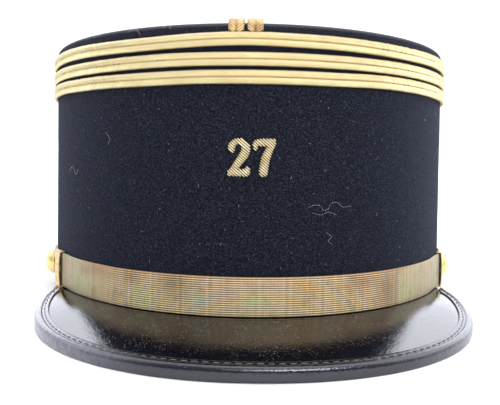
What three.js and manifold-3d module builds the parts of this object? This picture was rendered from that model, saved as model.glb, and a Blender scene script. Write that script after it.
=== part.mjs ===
// A stiff cloth dress cap: an oval crown with three rings of gold braid, an embroidered number,
// a ribbed gold lace chin strap held by two domed buttons, and a crescent visor of patent leather.
// Millimetres. In the cap's own frame the rim lies at z = 0, +Z is up and the visor points to -Y.

import * as THREE from "three";
import { mergeVertices } from "three/addons/utils/BufferGeometryUtils.js";
import Module from "manifold-3d";

const wasm = await Module();
wasm.setup();

// The gap between pieces that are sewn together.
const SEAM_GAP = 0.3;

// Oval crown: taper is the share of its width lost per mm of height, frontRise lifts the front edge.
const CROWN = {
  halfWidth: 84,
  halfLength: 103,
  wall: 2.8,
  taper: 0.00011,
  height: 92.2,
  frontRise: 0.8,
  segments: 96,
  crestSteps: 5,
};

// Oval of cloth set in below the crest.
const TOP_PANEL = { recess: 2.6, thickness: 2 };

// The rings are sewn by hand: a wave lists how far a ring lies above or below its line,
// at places in degrees from the middle of the front.
const LOWER_WAVE = [
  { degrees: -60, up: 0 },
  { degrees: -45, up: -0.3 },
  { degrees: -27, up: -0.47 },
  { degrees: -10, up: -0.17 },
  { degrees: 14, up: -0.15 },
  { degrees: 33, up: 0.38 },
  { degrees: 70, up: 0 },
];
const MIDDLE_WAVE = [
  { degrees: -60, up: 0 },
  { degrees: -38, up: -0.32 },
  { degrees: -12, up: -0.07 },
  { degrees: 12, up: -0.06 },
  { degrees: 32, up: 0.06 },
  { degrees: 60, up: 0 },
];
const UPPER_WAVE = [
  { degrees: -60, up: 0 },
  { degrees: -28, up: -0.77 },
  { degrees: -3, up: 0 },
  { degrees: 12, up: -0.25 },
  { degrees: 36, up: -0.44 },
  { degrees: 60, up: 0 },
];

// Braid rings: z is the lower edge at the sides, rise is what the front gains.
const BRAID_THICKNESS = 1.3;
const BRAID_RINGS = [
  { name: "braid_lower", z: 73.15, height: 4.5, rise: 0.8, wave: LOWER_WAVE },
  { name: "braid_middle", z: 78.7, height: 4.35, rise: 0.8, wave: MIDDLE_WAVE },
  { name: "braid_upper", z: 84.3, height: 4.4, rise: 1.4, wave: UPPER_WAVE },
];

// Two round ridges and the groove between them: across is a share of the width, out of the thickness.
const BRAID_SECTION = [
  { across: 0, out: 0 },
  { across: 0.03, out: 0.6 },
  { across: 0.25, out: 1 },
  { across: 0.5, out: 0.55 },
  { across: 0.75, out: 1 },
  { across: 0.97, out: 0.6 },
  { across: 1, out: 0 },
];

// Upright braids: x is measured along the front from its middle, tail is the length on the top panel.
const FRONT_BRAID = { width: 5.2, tail: 4.5, bendSteps: 7 };
const FRONT_BRAIDS = [
  { name: "front_braid_left", x: -7 },
  { name: "front_braid_right", x: -1 },
];

// Embroidered digits: strokes are drawn in a box of their own, halfWidth is half of the stroke.
const NUMERAL = { bottom: 44.8, scale: 0.97, depth: 1.2, strokeSteps: 12, capSteps: 5 };
const DIGIT_TWO = [
  [
    { x: 1.3, z: 8.7, halfWidth: 1.05 },
    { x: 1.6, z: 10.4, halfWidth: 0.95 },
    { x: 3.4, z: 11.4, halfWidth: 0.95 },
    { x: 5.4, z: 10.7, halfWidth: 1.2 },
    { x: 6.0, z: 9.0, halfWidth: 1.4 },
    { x: 5.4, z: 7.0, halfWidth: 1.35 },
    { x: 3.7, z: 4.6, halfWidth: 1.15 },
    { x: 1.7, z: 1.7, halfWidth: 1.0 },
  ],
  [
    { x: 1.2, z: 1.2, halfWidth: 1.1 },
    { x: 3.8, z: 1.3, halfWidth: 1.2 },
    { x: 6.2, z: 1.2, halfWidth: 1.1 },
    { x: 6.7, z: 2.7, halfWidth: 0.65 },
  ],
];
const DIGIT_SEVEN = [
  [
    { x: 0.8, z: 9.2, halfWidth: 0.65 },
    { x: 1.1, z: 10.8, halfWidth: 1.0 },
    { x: 3.8, z: 11.1, halfWidth: 1.2 },
    { x: 6.4, z: 11.2, halfWidth: 1.1 },
  ],
  [
    { x: 6.4, z: 11.1, halfWidth: 1.1 },
    { x: 5.2, z: 8.5, halfWidth: 1.2 },
    { x: 4.0, z: 5.2, halfWidth: 1.35 },
    { x: 3.5, z: 1.4, halfWidth: 1.4 },
  ],
];
const NUMERALS = [
  { name: "numeral_first", x: -9.4, strokes: DIGIT_TWO },
  { name: "numeral_second", x: -1.3, strokes: DIGIT_SEVEN },
];

// Angles round the crown are measured from the front, in degrees.
const STRAP = {
  bottom: 0.05,
  height: 12.7,
  thickness: 0.8,
  endRise: 0.25,
  riseFrom: 52,
  riseTo: 58,
  endAngle: 76.5,
  roundAngle: 3,
  stations: 72,
};
const KEEPER = {
  span: 4.8,
  gap: 0.2,
  edgeGap: 0.1,
  backThickness: 0.4,
  frontThickness: 0.6,
  edgeThickness: 0.25,
  bulge: 0.25,
  rampAngle: 2.2,
};
const KEEPERS = [
  { name: "keeper_left", side: -1, startAngle: 58 },
  { name: "keeper_right", side: 1, startAngle: 62.8 },
];
const BUTTON = {
  angle: 71.2,
  radius: 5.2,
  height: 3.3,
  shankRadius: 1.4,
  shankDepth: 1.8,
  rimHeight: 0.7,
  segments: 24,
  domeSteps: 6,
};
const SHANK_HOLE = { radius: 1.7, depth: 2.2, segments: 20 };

// Visor outline in plan: a rounded front about centreY and elliptical rear corners,
// set a hair to the right of the crown's middle.
const VISOR = {
  halfWidth: 79.2,
  offsetX: 1.2,
  centreY: -65,
  frontLength: 69.2,
  roundness: 2.05,
  cornerWidth: 11,
  cornerLength: 16.5,
  hornReach: 3,
  tailReach: 1.2,
  tailAngle: 9,
  thickness: 2,
  underWall: 2.3,
  flatLedge: 0.6,
  slopeAtCrown: 17,
  slopeAtEdge: 13,
  slopeSpan: 38,
  setback: 1.3,
  stations: 56,
  rows: 3,
};

// Rolled edge: lateral is measured inwards from the outline, up from the leather's upper face.
const BINDING = { flange: 4.8, web: 1, thickness: 1, clearOfStrap: 1.6 };
const BINDING_TOP = [
  { lateral: 1, up: 0.25 },
  { lateral: 0.9, up: 0.75 },
  { lateral: 0.72, up: 0.9 },
  { lateral: 0.58, up: 0.6 },
  { lateral: 0.4, up: 1 },
  { lateral: 0.1, up: 0.5 },
];

// The cap rests on the back of its rim and on the visor's front edge; both give a little.
const REST = { tilt: 2.95, drop: 5 };

const CLOTH = { color: 0x14161d, roughness: 0.95, metalness: 0 };
const BRAID_GOLD = { color: 0xc7a24e, roughness: 0.45, metalness: 0.7 };
const LACE_GOLD = { color: 0x99814f, roughness: 0.5, metalness: 0.6 };
const GILT = { color: 0xd9b24a, roughness: 0.25, metalness: 1 };
const BULLION = { color: 0xb99648, roughness: 0.4, metalness: 0.8 };
const PATENT = { color: 0x0b0b0c, roughness: 0.15, metalness: 0 };
const EDGE_LEATHER = { color: 0x1b1a1a, roughness: 0.35, metalness: 0 };

const radians = THREE.MathUtils.degToRad;
const lerp = THREE.MathUtils.lerp;

const cap = new THREE.Group();
cap.name = "cap";

function addPiece(name, geometry, look) {
  const mesh = new THREE.Mesh(geometry, new THREE.MeshStandardMaterial(look));
  mesh.name = name;
  geometry.computeVertexNormals();
  cap.add(mesh);
  return mesh;
}

// Height of the resting surface below the tilted cap.
function restHeight(y) {
  return y * Math.tan(radians(REST.tilt)) - REST.drop;
}

// A point on the crown's outer face, moved outwards by out.
function crownPoint(angle, z, out) {
  const scale = 1 - CROWN.taper * z;
  const normal = crownNormal(angle);
  const x = scale * CROWN.halfWidth * Math.sin(angle) + out * normal.x;
  const y = -scale * CROWN.halfLength * Math.cos(angle) + out * normal.y;
  return new THREE.Vector3(x, y, z);
}

function crownNormal(angle) {
  const across = Math.sin(angle) / CROWN.halfWidth;
  const along = -Math.cos(angle) / CROWN.halfLength;
  return new THREE.Vector3(across, along, 0).normalize();
}

function crestHeight(angle) {
  return CROWN.height + CROWN.frontRise * Math.cos(angle);
}

// Angle of the crown point nearest to a point in plan.
function nearestAngle(point) {
  const a = CROWN.halfWidth;
  const b = CROWN.halfLength;
  let angle = Math.atan2(point.x / a, -point.y / b);
  for (let step = 0; step < 10; step += 1) {
    const sin = Math.sin(angle);
    const cos = Math.cos(angle);
    const dx = a * sin - point.x;
    const dy = -b * cos - point.y;
    const slope = dx * a * cos + dy * b * sin;
    const curve = (a * cos) ** 2 + (b * sin) ** 2 - dx * a * sin + dy * b * cos;
    angle -= slope / curve;
  }
  return angle;
}

function crownDistance(point) {
  return point.clone().setZ(0).distanceTo(crownPoint(nearestAngle(point), 0, 0));
}

function signedVolume(positions, index) {
  const a = new THREE.Vector3();
  const b = new THREE.Vector3();
  const c = new THREE.Vector3();
  let total = 0;
  for (let i = 0; i < index.length; i += 3) {
    a.fromArray(positions, index[i] * 3);
    b.fromArray(positions, index[i + 1] * 3);
    c.fromArray(positions, index[i + 2] * 3);
    total += a.dot(b.cross(c)) / 6;
  }
  return total;
}

// Triangles that fill an end section, all wound the way its outline runs.
function capFaces(outline) {
  const turn = Math.sign(THREE.ShapeUtils.area(outline));
  return THREE.ShapeUtils.triangulateShape(outline, []).map(([a, b, c]) => {
    const area = THREE.ShapeUtils.area([outline[a], outline[b], outline[c]]);
    return Math.sign(area) === turn ? [a, b, c] : [a, c, b];
  });
}

// A solid through a row of equal sections, joined end to end or closed with flat ends.
function loft(sections, endOutline) {
  const count = sections[0].length;
  const positions = sections.flat().flatMap((point) => point.toArray());
  const index = [];
  const spans = endOutline ? sections.length - 1 : sections.length;
  for (let i = 0; i < spans; i += 1) {
    const here = i * count;
    const next = ((i + 1) % sections.length) * count;
    for (let j = 0; j < count; j += 1) {
      const k = (j + 1) % count;
      index.push(here + j, next + j, next + k, here + j, next + k, here + k);
    }
  }
  if (endOutline) {
    const last = (sections.length - 1) * count;
    for (const [a, b, c] of capFaces(endOutline)) {
      index.push(a, b, c, last + a, last + c, last + b);
    }
  }
  if (signedVolume(positions, index) < 0) {
    index.reverse();
  }
  const geometry = new THREE.BufferGeometry();
  geometry.setAttribute("position", new THREE.Float32BufferAttribute(positions, 3));
  geometry.setIndex(index);
  return geometry;
}

function toManifold(geometry) {
  const plain = geometry.clone();
  plain.deleteAttribute("normal");
  plain.deleteAttribute("uv");
  const welded = mergeVertices(plain, 1e-4);
  const vertProperties = new Float32Array(welded.attributes.position.array);
  const triVerts = new Uint32Array(welded.index.array);
  return new wasm.Manifold(new wasm.Mesh({ numProp: 3, vertProperties, triVerts }));
}

function toGeometry(solid) {
  const mesh = solid.getMesh();
  const geometry = new THREE.BufferGeometry();
  geometry.setAttribute("position", new THREE.Float32BufferAttribute(mesh.vertProperties, 3));
  geometry.setIndex(Array.from(mesh.triVerts));
  return geometry;
}

function anglesAround(segments) {
  return Array.from({ length: segments }, (_, i) => (i / segments) * Math.PI * 2);
}

// Middle height of the strap where the buttons go through it.
const buttonHeight = STRAP.bottom + STRAP.endRise + STRAP.height / 2;

// A round hole bored inwards through the strap and into the wall behind a button.
function shankHole(side) {
  const angle = side * radians(BUTTON.angle);
  const length = SHANK_HOLE.depth + 6;
  const hole = new THREE.CylinderGeometry(
    SHANK_HOLE.radius,
    SHANK_HOLE.radius,
    length,
    SHANK_HOLE.segments,
  );
  const middle = crownPoint(angle, buttonHeight, length / 2 - SHANK_HOLE.depth);
  const turn = new THREE.Quaternion().setFromUnitVectors(new THREE.Vector3(0, 1, 0), crownNormal(angle));
  hole.applyQuaternion(turn);
  hole.translate(middle.x, middle.y, middle.z);
  return toManifold(hole);
}

function cutShankHoles(geometry) {
  return toGeometry(toManifold(geometry).subtract(shankHole(-1)).subtract(shankHole(1)));
}

// Hollow wall with a round crest; its rim is pressed flat where the cap stands on it.
function makeCrownWall() {
  const crestRadius = CROWN.wall / 2;
  const sections = anglesAround(CROWN.segments).map((angle) => {
    const crest = crestHeight(angle) - crestRadius;
    const rimPoint = (out) => {
      const point = crownPoint(angle, 0, out);
      point.z = Math.max(0, restHeight(point.y));
      return point;
    };
    const section = [rimPoint(-CROWN.wall), rimPoint(0)];
    for (let step = 0; step <= CROWN.crestSteps; step += 1) {
      const turn = (step / CROWN.crestSteps) * Math.PI;
      const out = crestRadius * (Math.cos(turn) - 1);
      section.push(crownPoint(angle, crest + crestRadius * Math.sin(turn), out));
    }
    return section;
  });
  return cutShankHoles(loft(sections));
}

function topPanelHeight(angle) {
  return crestHeight(angle) - TOP_PANEL.recess;
}

function makeCrownTop() {
  const shape = new THREE.Shape(
    anglesAround(CROWN.segments).map((angle) => {
      const edge = crownPoint(angle, topPanelHeight(angle), -CROWN.wall - SEAM_GAP);
      return new THREE.Vector2(edge.x, edge.y);
    }),
  );
  const panel = new THREE.ExtrudeGeometry(shape, { depth: TOP_PANEL.thickness, bevelEnabled: false });
  const slope = CROWN.frontRise / CROWN.halfLength;
  const points = panel.attributes.position;
  for (let i = 0; i < points.count; i += 1) {
    const lift = CROWN.height - TOP_PANEL.recess - TOP_PANEL.thickness - slope * points.getY(i);
    points.setZ(i, points.getZ(i) + lift);
  }
  return panel;
}

// Height of a wave at an angle, eased between its places.
function waveAt(wave, angle) {
  const degrees = THREE.MathUtils.euclideanModulo(THREE.MathUtils.radToDeg(angle) + 180, 360) - 180;
  const next = wave.findIndex((place) => place.degrees > degrees);
  if (next < 1) {
    return 0;
  }
  const before = wave[next - 1];
  const after = wave[next];
  return lerp(before.up, after.up, THREE.MathUtils.smoothstep(degrees, before.degrees, after.degrees));
}

function makeBraidRing(ring) {
  const sections = anglesAround(CROWN.segments).map((angle) => {
    const base = ring.z + ring.rise * Math.cos(angle) + waveAt(ring.wave, angle);
    return BRAID_SECTION.map(({ across, out }) =>
      crownPoint(angle, base + across * ring.height, SEAM_GAP + out * BRAID_THICKNESS),
    );
  });
  return loft(sections);
}

// Runs up the wall from the upper ring, over the crest and a little way onto the top panel.
function makeFrontBraid(braid) {
  const upper = BRAID_RINGS[BRAID_RINGS.length - 1];
  const crestRadius = CROWN.wall / 2;
  const start = upper.z + upper.rise + upper.height + SEAM_GAP;
  const bendZ = CROWN.height + CROWN.frontRise - crestRadius;
  const panelZ = CROWN.height + CROWN.frontRise - TOP_PANEL.recess + SEAM_GAP;
  const path = [{ out: SEAM_GAP, z: start, faceOut: 1, faceUp: 0 }];
  const reach = crestRadius + SEAM_GAP;
  for (let step = 0; step <= FRONT_BRAID.bendSteps; step += 1) {
    const turn = (step / FRONT_BRAID.bendSteps) * radians(150);
    const faceOut = Math.cos(turn);
    const faceUp = Math.sin(turn);
    path.push({ out: reach * faceOut - crestRadius, z: bendZ + reach * faceUp, faceOut, faceUp });
  }
  const foot = -CROWN.wall - 1.6;
  path.push({ out: foot, z: panelZ, faceOut: -0.2, faceUp: 1 });
  path.push({ out: foot - FRONT_BRAID.tail, z: panelZ, faceOut: 0, faceUp: 1 });
  const sections = path.map(({ out, z, faceOut, faceUp }) =>
    BRAID_SECTION.map((row) => {
      const x = braid.x + (row.across - 0.5) * FRONT_BRAID.width;
      const angle = x / CROWN.halfWidth;
      const lift = row.out * BRAID_THICKNESS;
      return crownPoint(angle, z + lift * faceUp, out + lift * faceOut);
    }),
  );
  const outline = BRAID_SECTION.map(({ across, out }) => new THREE.Vector2(across, out));
  return loft(sections, outline);
}

// Outline of one stroke of a digit, with round ends.
function strokeShape(rows) {
  const spine = new THREE.SplineCurve(rows.map(({ x, z }) => new THREE.Vector2(x, z)));
  const halfWidthAt = (t) => {
    const place = t * (rows.length - 1);
    const row = Math.min(Math.floor(place), rows.length - 2);
    return lerp(rows[row].halfWidth, rows[row + 1].halfWidth, place - row);
  };
  const edgePoint = (t, turn) => {
    const heading = spine.getTangent(t).angle() + turn;
    const arm = new THREE.Vector2(Math.cos(heading), Math.sin(heading));
    return spine.getPoint(t).addScaledVector(arm, halfWidthAt(t));
  };
  const points = [];
  for (let step = 0; step < NUMERAL.strokeSteps; step += 1) {
    points.push(edgePoint(step / NUMERAL.strokeSteps, -Math.PI / 2));
  }
  for (let step = 0; step < NUMERAL.capSteps; step += 1) {
    points.push(edgePoint(1, (step / NUMERAL.capSteps - 0.5) * Math.PI));
  }
  for (let step = NUMERAL.strokeSteps; step > 0; step -= 1) {
    points.push(edgePoint(step / NUMERAL.strokeSteps, Math.PI / 2));
  }
  for (let step = 0; step < NUMERAL.capSteps; step += 1) {
    points.push(edgePoint(0, (step / NUMERAL.capSteps + 0.5) * Math.PI));
  }
  return new THREE.Shape(points);
}

// A padded digit whose strokes are joined and then bent to the front of the crown.
function makeNumeral(numeral) {
  const settings = { depth: NUMERAL.depth, bevelEnabled: false };
  const strokes = numeral.strokes.map((rows) =>
    toManifold(new THREE.ExtrudeGeometry(strokeShape(rows), settings)),
  );
  const digit = toGeometry(strokes.reduce((joined, stroke) => joined.add(stroke)));
  const points = digit.attributes.position;
  for (let i = 0; i < points.count; i += 1) {
    const angle = (numeral.x + NUMERAL.scale * points.getX(i)) / CROWN.halfWidth;
    const z = NUMERAL.bottom + NUMERAL.scale * points.getY(i);
    const bent = crownPoint(angle, z, SEAM_GAP + points.getZ(i));
    points.setXYZ(i, bent.x, bent.y, bent.z);
  }
  return digit;
}

// The strap climbs a little beyond the visor, where its ends are buttoned.
function strapRise(angle) {
  const degrees = Math.abs(THREE.MathUtils.radToDeg(angle));
  return STRAP.endRise * THREE.MathUtils.smoothstep(degrees, STRAP.riseFrom, STRAP.riseTo);
}

// The strap lies on the wall and steps off it to let the keepers pass behind.
function strapLift(angle) {
  const degrees = Math.abs(THREE.MathUtils.radToDeg(angle));
  const keeper = KEEPERS.find(({ side }) => side === (angle < 0 ? -1 : 1));
  const margin = 0.4;
  const start = keeper.startAngle - margin;
  const end = keeper.startAngle + KEEPER.span + margin;
  const up = THREE.MathUtils.smoothstep(degrees, start - KEEPER.rampAngle, start);
  const down = THREE.MathUtils.smoothstep(degrees, end, end + KEEPER.rampAngle);
  const overKeeper = KEEPER.gap + KEEPER.backThickness + KEEPER.gap;
  return lerp(SEAM_GAP, overKeeper, up - down);
}

function makeStrap() {
  const sections = [];
  for (let station = 0; station <= STRAP.stations; station += 1) {
    const degrees = lerp(-STRAP.endAngle, STRAP.endAngle, station / STRAP.stations);
    const angle = radians(degrees);
    const intoEnd = Math.max(0, Math.abs(degrees) - STRAP.endAngle + STRAP.roundAngle) / STRAP.roundAngle;
    const half = (STRAP.height / 2) * Math.max(0.45, Math.sqrt(1 - intoEnd * intoEnd));
    const middle = STRAP.bottom + STRAP.height / 2 + strapRise(angle);
    const inner = strapLift(angle);
    const outer = inner + STRAP.thickness;
    sections.push([
      crownPoint(angle, middle - half, inner),
      crownPoint(angle, middle - half, outer),
      crownPoint(angle, middle + half, outer),
      crownPoint(angle, middle + half, inner),
    ]);
  }
  const outline = [
    new THREE.Vector2(0, 0),
    new THREE.Vector2(1, 0),
    new THREE.Vector2(1, 1),
    new THREE.Vector2(0, 1),
  ];
  return cutShankHoles(loft(sections, outline));
}

// A loop round the strap whose front bulges away from it at mid-height.
function makeKeeper({ side, startAngle }) {
  const strapLow = STRAP.bottom + STRAP.endRise;
  const low = strapLow - KEEPER.edgeGap;
  const high = strapLow + STRAP.height + KEEPER.edgeGap;
  const backFace = KEEPER.gap;
  const back = backFace + KEEPER.backThickness;
  const front = back + KEEPER.gap + STRAP.thickness + KEEPER.gap;
  const frontFace = front + KEEPER.frontThickness;
  const edge = KEEPER.edgeThickness;
  const soft = edge * 0.6;
  const loop = [
    { inOut: back, inZ: low, out: backFace, z: low - edge },
    { inOut: front, inZ: low, out: frontFace - soft, z: low - edge },
    { inOut: front, inZ: low, out: frontFace, z: low - edge + soft },
  ];
  for (const share of [0.25, 0.5, 0.75]) {
    const bulge = KEEPER.bulge * Math.sin(share * Math.PI);
    const z = lerp(low, high, share);
    loop.push({ inOut: front + bulge, inZ: z, out: frontFace + bulge, z });
  }
  loop.push({ inOut: front, inZ: high, out: frontFace, z: high + edge - soft });
  loop.push({ inOut: front, inZ: high, out: frontFace - soft, z: high + edge });
  loop.push({ inOut: back, inZ: high, out: backFace, z: high + edge });
  const from = side * radians(startAngle);
  const to = side * radians(startAngle + KEEPER.span);
  const across = [from, (from + to) / 2, to];
  const sections = loop.map((row) => {
    const inside = across.map((angle) => crownPoint(angle, row.inZ, row.inOut));
    const outside = across.map((angle) => crownPoint(angle, row.z, row.out));
    return [...inside, ...outside.reverse()];
  });
  return loft(sections);
}

// A dome on a flat back, with its shank running through the strap into the wall.
function makeButton() {
  const seat = SEAM_GAP + STRAP.thickness + SEAM_GAP;
  const rim = seat + BUTTON.rimHeight;
  const profile = [
    new THREE.Vector2(0, -BUTTON.shankDepth),
    new THREE.Vector2(BUTTON.shankRadius, -BUTTON.shankDepth),
    new THREE.Vector2(BUTTON.shankRadius, seat),
    new THREE.Vector2(BUTTON.radius - 0.3, seat),
    new THREE.Vector2(BUTTON.radius, seat + BUTTON.rimHeight / 2),
  ];
  for (let step = 0; step < BUTTON.domeSteps; step += 1) {
    const turn = (step / BUTTON.domeSteps) * (Math.PI / 2);
    const radius = (BUTTON.radius - 0.2) * Math.cos(turn);
    profile.push(new THREE.Vector2(radius, rim + (BUTTON.height - BUTTON.rimHeight) * Math.sin(turn)));
  }
  profile.push(new THREE.Vector2(0, seat + BUTTON.height));
  return new THREE.LatheGeometry(profile, BUTTON.segments);
}

function addButton(name, side) {
  const mesh = addPiece(name, makeButton(), GILT);
  const angle = side * radians(BUTTON.angle);
  mesh.position.copy(crownPoint(angle, buttonHeight, 0));
  mesh.quaternion.setFromUnitVectors(new THREE.Vector3(0, 1, 0), crownNormal(angle));
}

// Upper face of the visor's leather at a distance from the crown: steeper there than at its edge.
function visorTop(distance) {
  const run = Math.max(0, distance - VISOR.flatLedge);
  const near = Math.tan(radians(VISOR.slopeAtCrown));
  const far = Math.tan(radians(VISOR.slopeAtEdge));
  return -SEAM_GAP - run * near + (run * run * (near - far)) / (2 * VISOR.slopeSpan);
}

// Half of the visor's outline, from the middle of the front to the horn beside the crown.
function visorHalfOutline(side) {
  const points = [];
  const power = 2 / VISOR.roundness;
  for (let step = 0; step <= 60; step += 1) {
    const turn = (step / 60) * (Math.PI / 2);
    const x = VISOR.halfWidth * Math.sin(turn) ** power;
    const y = VISOR.centreY - VISOR.frontLength * Math.abs(Math.cos(turn)) ** power;
    points.push(new THREE.Vector3(VISOR.offsetX + side * x, y, 0));
  }
  for (let step = 1; step < 60; step += 1) {
    const turn = (step / 60) * (Math.PI / 2);
    const x = VISOR.halfWidth - VISOR.cornerWidth * (1 - Math.cos(turn));
    const y = VISOR.centreY + VISOR.cornerLength * Math.sin(turn);
    const point = new THREE.Vector3(VISOR.offsetX + side * x, y, 0);
    if (crownDistance(point) < VISOR.hornReach) {
      break;
    }
    points.push(point);
  }
  return points;
}

const leftHalf = visorHalfOutline(-1).slice(1).reverse();
const visorOutline = new THREE.CatmullRomCurve3([...leftHalf, ...visorHalfOutline(1)]);
visorOutline.arcLengthDivisions = 2000;

// A point of the outline moved inwards by lateral, in plan.
function outlinePoint(share, lateral) {
  const tangent = visorOutline.getTangentAt(share);
  const inward = new THREE.Vector3(-tangent.y, tangent.x, 0).normalize();
  return visorOutline.getPointAt(share).addScaledVector(inward, lateral);
}

function visorShares() {
  return Array.from({ length: VISOR.stations + 1 }, (_, i) => i / VISOR.stations);
}

// The leather runs on past its horns as a narrow tail under the strap's ends.
function makeVisor() {
  const places = visorShares().map((share) => {
    const edge = outlinePoint(share, VISOR.setback);
    return { angle: nearestAngle(edge), reach: crownDistance(edge) };
  });
  const tail = radians(VISOR.tailAngle);
  places.unshift({ angle: places[0].angle - tail, reach: VISOR.tailReach });
  places.push({ angle: places[places.length - 1].angle + tail, reach: VISOR.tailReach });
  const sections = places.map(({ angle, reach }) => {
    const top = [];
    const bottom = [];
    const addRow = (distance) => {
      const z = visorTop(distance);
      const plan = crownPoint(angle, 0, distance);
      top.push(plan.clone().setZ(z));
      bottom.unshift(plan.clone().setZ(z - VISOR.thickness));
    };
    addRow(-VISOR.underWall);
    for (let row = 0; row <= VISOR.rows; row += 1) {
      addRow(lerp(VISOR.flatLedge, reach, row / VISOR.rows));
    }
    return [...top, ...bottom];
  });
  const rowCount = sections[0].length / 2;
  const outline = sections[0].map((_, i) => {
    const onTop = i < rowCount;
    const place = onTop ? i : 2 * rowCount - 1 - i;
    return new THREE.Vector2(place, onTop ? 1 : 0);
  });
  return loft(sections, outline);
}

function makeVisorBinding() {
  const profileAt = (flange) => {
    const under = -VISOR.thickness - SEAM_GAP;
    const base = under - BINDING.thickness;
    const rows = [
      { lateral: flange, z: under },
      { lateral: BINDING.web, z: under },
      { lateral: BINDING.web, z: SEAM_GAP },
      { lateral: flange, z: SEAM_GAP },
    ];
    for (const { lateral, up } of BINDING_TOP) {
      rows.push({ lateral: lateral * flange, z: SEAM_GAP + up * BINDING.thickness });
    }
    rows.push({ lateral: 0, z: -0.2 });
    rows.push({ lateral: 0, z: -VISOR.thickness + 0.2 });
    rows.push({ lateral: 0.25, z: base + 0.4 });
    rows.push({ lateral: 0.9, z: base });
    rows.push({ lateral: flange, z: base });
    return rows;
  };
  const sections = visorShares().map((share) => {
    const reach = crownDistance(outlinePoint(share, 0));
    const flange = Math.min(BINDING.flange, reach - BINDING.clearOfStrap);
    return profileAt(flange).map(({ lateral, z }) => {
      const point = outlinePoint(share, lateral);
      point.z = visorTop(crownDistance(point)) + z;
      point.z = Math.max(point.z, restHeight(point.y));
      return point;
    });
  });
  const outline = profileAt(BINDING.flange).map(({ lateral, z }) => new THREE.Vector2(lateral, z));
  return loft(sections, outline);
}

addPiece("crown_wall", makeCrownWall(), CLOTH);
addPiece("crown_top", makeCrownTop(), CLOTH);
for (const ring of BRAID_RINGS) {
  addPiece(ring.name, makeBraidRing(ring), BRAID_GOLD);
}
for (const braid of FRONT_BRAIDS) {
  addPiece(braid.name, makeFrontBraid(braid), BRAID_GOLD);
}
for (const numeral of NUMERALS) {
  addPiece(numeral.name, makeNumeral(numeral), BULLION);
}
addPiece("chin_strap", makeStrap(), LACE_GOLD);
for (const keeper of KEEPERS) {
  addPiece(keeper.name, makeKeeper(keeper), LACE_GOLD);
}
addButton("button_left", -1);
addButton("button_right", 1);
addPiece("visor", makeVisor(), PATENT);
addPiece("visor_binding", makeVisorBinding(), EDGE_LEATHER);

// The cap leans back until its rim and its visor meet the surface, centred over the origin.
cap.rotation.x = -radians(REST.tilt);
cap.updateMatrixWorld(true);
const box = new THREE.Box3().setFromObject(cap, true);
const centre = box.getCenter(new THREE.Vector3());

const kepi = new THREE.Group();
kepi.name = "kepi";
kepi.position.set(-centre.x, -centre.y, -box.min.z);
kepi.add(cap);

export default kepi;
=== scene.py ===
# %% [markdown]
# # A braided dress cap
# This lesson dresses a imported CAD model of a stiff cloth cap: an oval crown with three rings of gold
# braid, an embroidered number, a ribbed gold lace strap and a patent leather visor.
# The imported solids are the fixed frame. Each step looks at one piece or finish of the real cap, and
# builds a finer one in the place that the solid holds.

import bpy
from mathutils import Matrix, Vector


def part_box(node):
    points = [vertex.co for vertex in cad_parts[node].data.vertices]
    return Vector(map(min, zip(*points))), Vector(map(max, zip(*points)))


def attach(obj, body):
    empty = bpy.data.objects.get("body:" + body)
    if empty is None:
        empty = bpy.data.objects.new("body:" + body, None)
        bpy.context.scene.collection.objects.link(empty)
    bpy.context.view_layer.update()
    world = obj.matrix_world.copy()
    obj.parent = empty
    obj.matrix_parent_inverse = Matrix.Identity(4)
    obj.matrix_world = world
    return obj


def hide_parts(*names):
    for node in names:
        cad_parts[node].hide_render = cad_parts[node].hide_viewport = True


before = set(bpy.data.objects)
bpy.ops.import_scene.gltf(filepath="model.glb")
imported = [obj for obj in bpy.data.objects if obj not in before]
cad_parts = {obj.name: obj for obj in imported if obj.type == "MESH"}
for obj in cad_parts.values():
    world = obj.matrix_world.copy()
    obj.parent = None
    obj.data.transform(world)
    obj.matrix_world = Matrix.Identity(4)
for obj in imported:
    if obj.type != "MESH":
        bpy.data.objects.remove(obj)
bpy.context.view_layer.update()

# %% [markdown]
# ## The cap's own frame
# The cap leans back a little, because it rests on the back of its rim and the front of its visor.
# Leaning shapes are awkward to describe, so every piece is made in the cap's own frame, with its rim
# level at z = 0 and the visor towards -Y, and its finished mesh is then moved with one matrix.
# Angles round the crown start at the middle of the front and grow towards +X.

# %% Shared imports and the resting matrix
import math
import random

import bmesh
import bpy
from mathutils import Matrix, Vector

MM = 0.001
REST_TILT = math.radians(2.95)
REST_DROP = 5 * MM
REST_SHIFT = Vector((0, 13.3153, 4.9934)) * MM
CAP_TO_ROW = Matrix.Translation(REST_SHIFT) @ Matrix.Rotation(-REST_TILT, 4, "X")
print("the cap leans back by", round(math.degrees(REST_TILT), 2), "degrees")

# %% The oval of the crown
HALF_WIDTH = 84 * MM
HALF_LENGTH = 103 * MM
TAPER = 0.11  # share of the width lost per metre of height
WALL = 2.8 * MM
CROWN_HEIGHT = 92.2 * MM
FRONT_RISE = 0.8 * MM
SEAM_GAP = 0.3 * MM


def oval_normal(angle):
    across = math.sin(angle) / HALF_WIDTH
    along = -math.cos(angle) / HALF_LENGTH
    return Vector((across, along, 0)).normalized()


def oval_point(angle, z, out):
    """A point on the crown's outer face, moved outwards by out."""
    scale = 1 - TAPER * z
    normal = oval_normal(angle)
    x = scale * HALF_WIDTH * math.sin(angle) + out * normal.x
    y = -scale * HALF_LENGTH * math.cos(angle) + out * normal.y
    return Vector((x, y, z))


def lerp(a, b, t):
    return a + (b - a) * t


def smoothstep(value, low, high):
    t = min(1, max(0, (value - low) / (high - low)))
    return t * t * (3 - 2 * t)


print("oval:", 2000 * HALF_WIDTH, "by", 2000 * HALF_LENGTH, "mm")

# %% [markdown]
# ## Helpers for nodes
# Shader trees and geometry trees are both made of nodes and links, so one helper builds either.
# It takes a node's inputs by name or number: a socket is linked, and anything else becomes the
# socket's own value.


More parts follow.
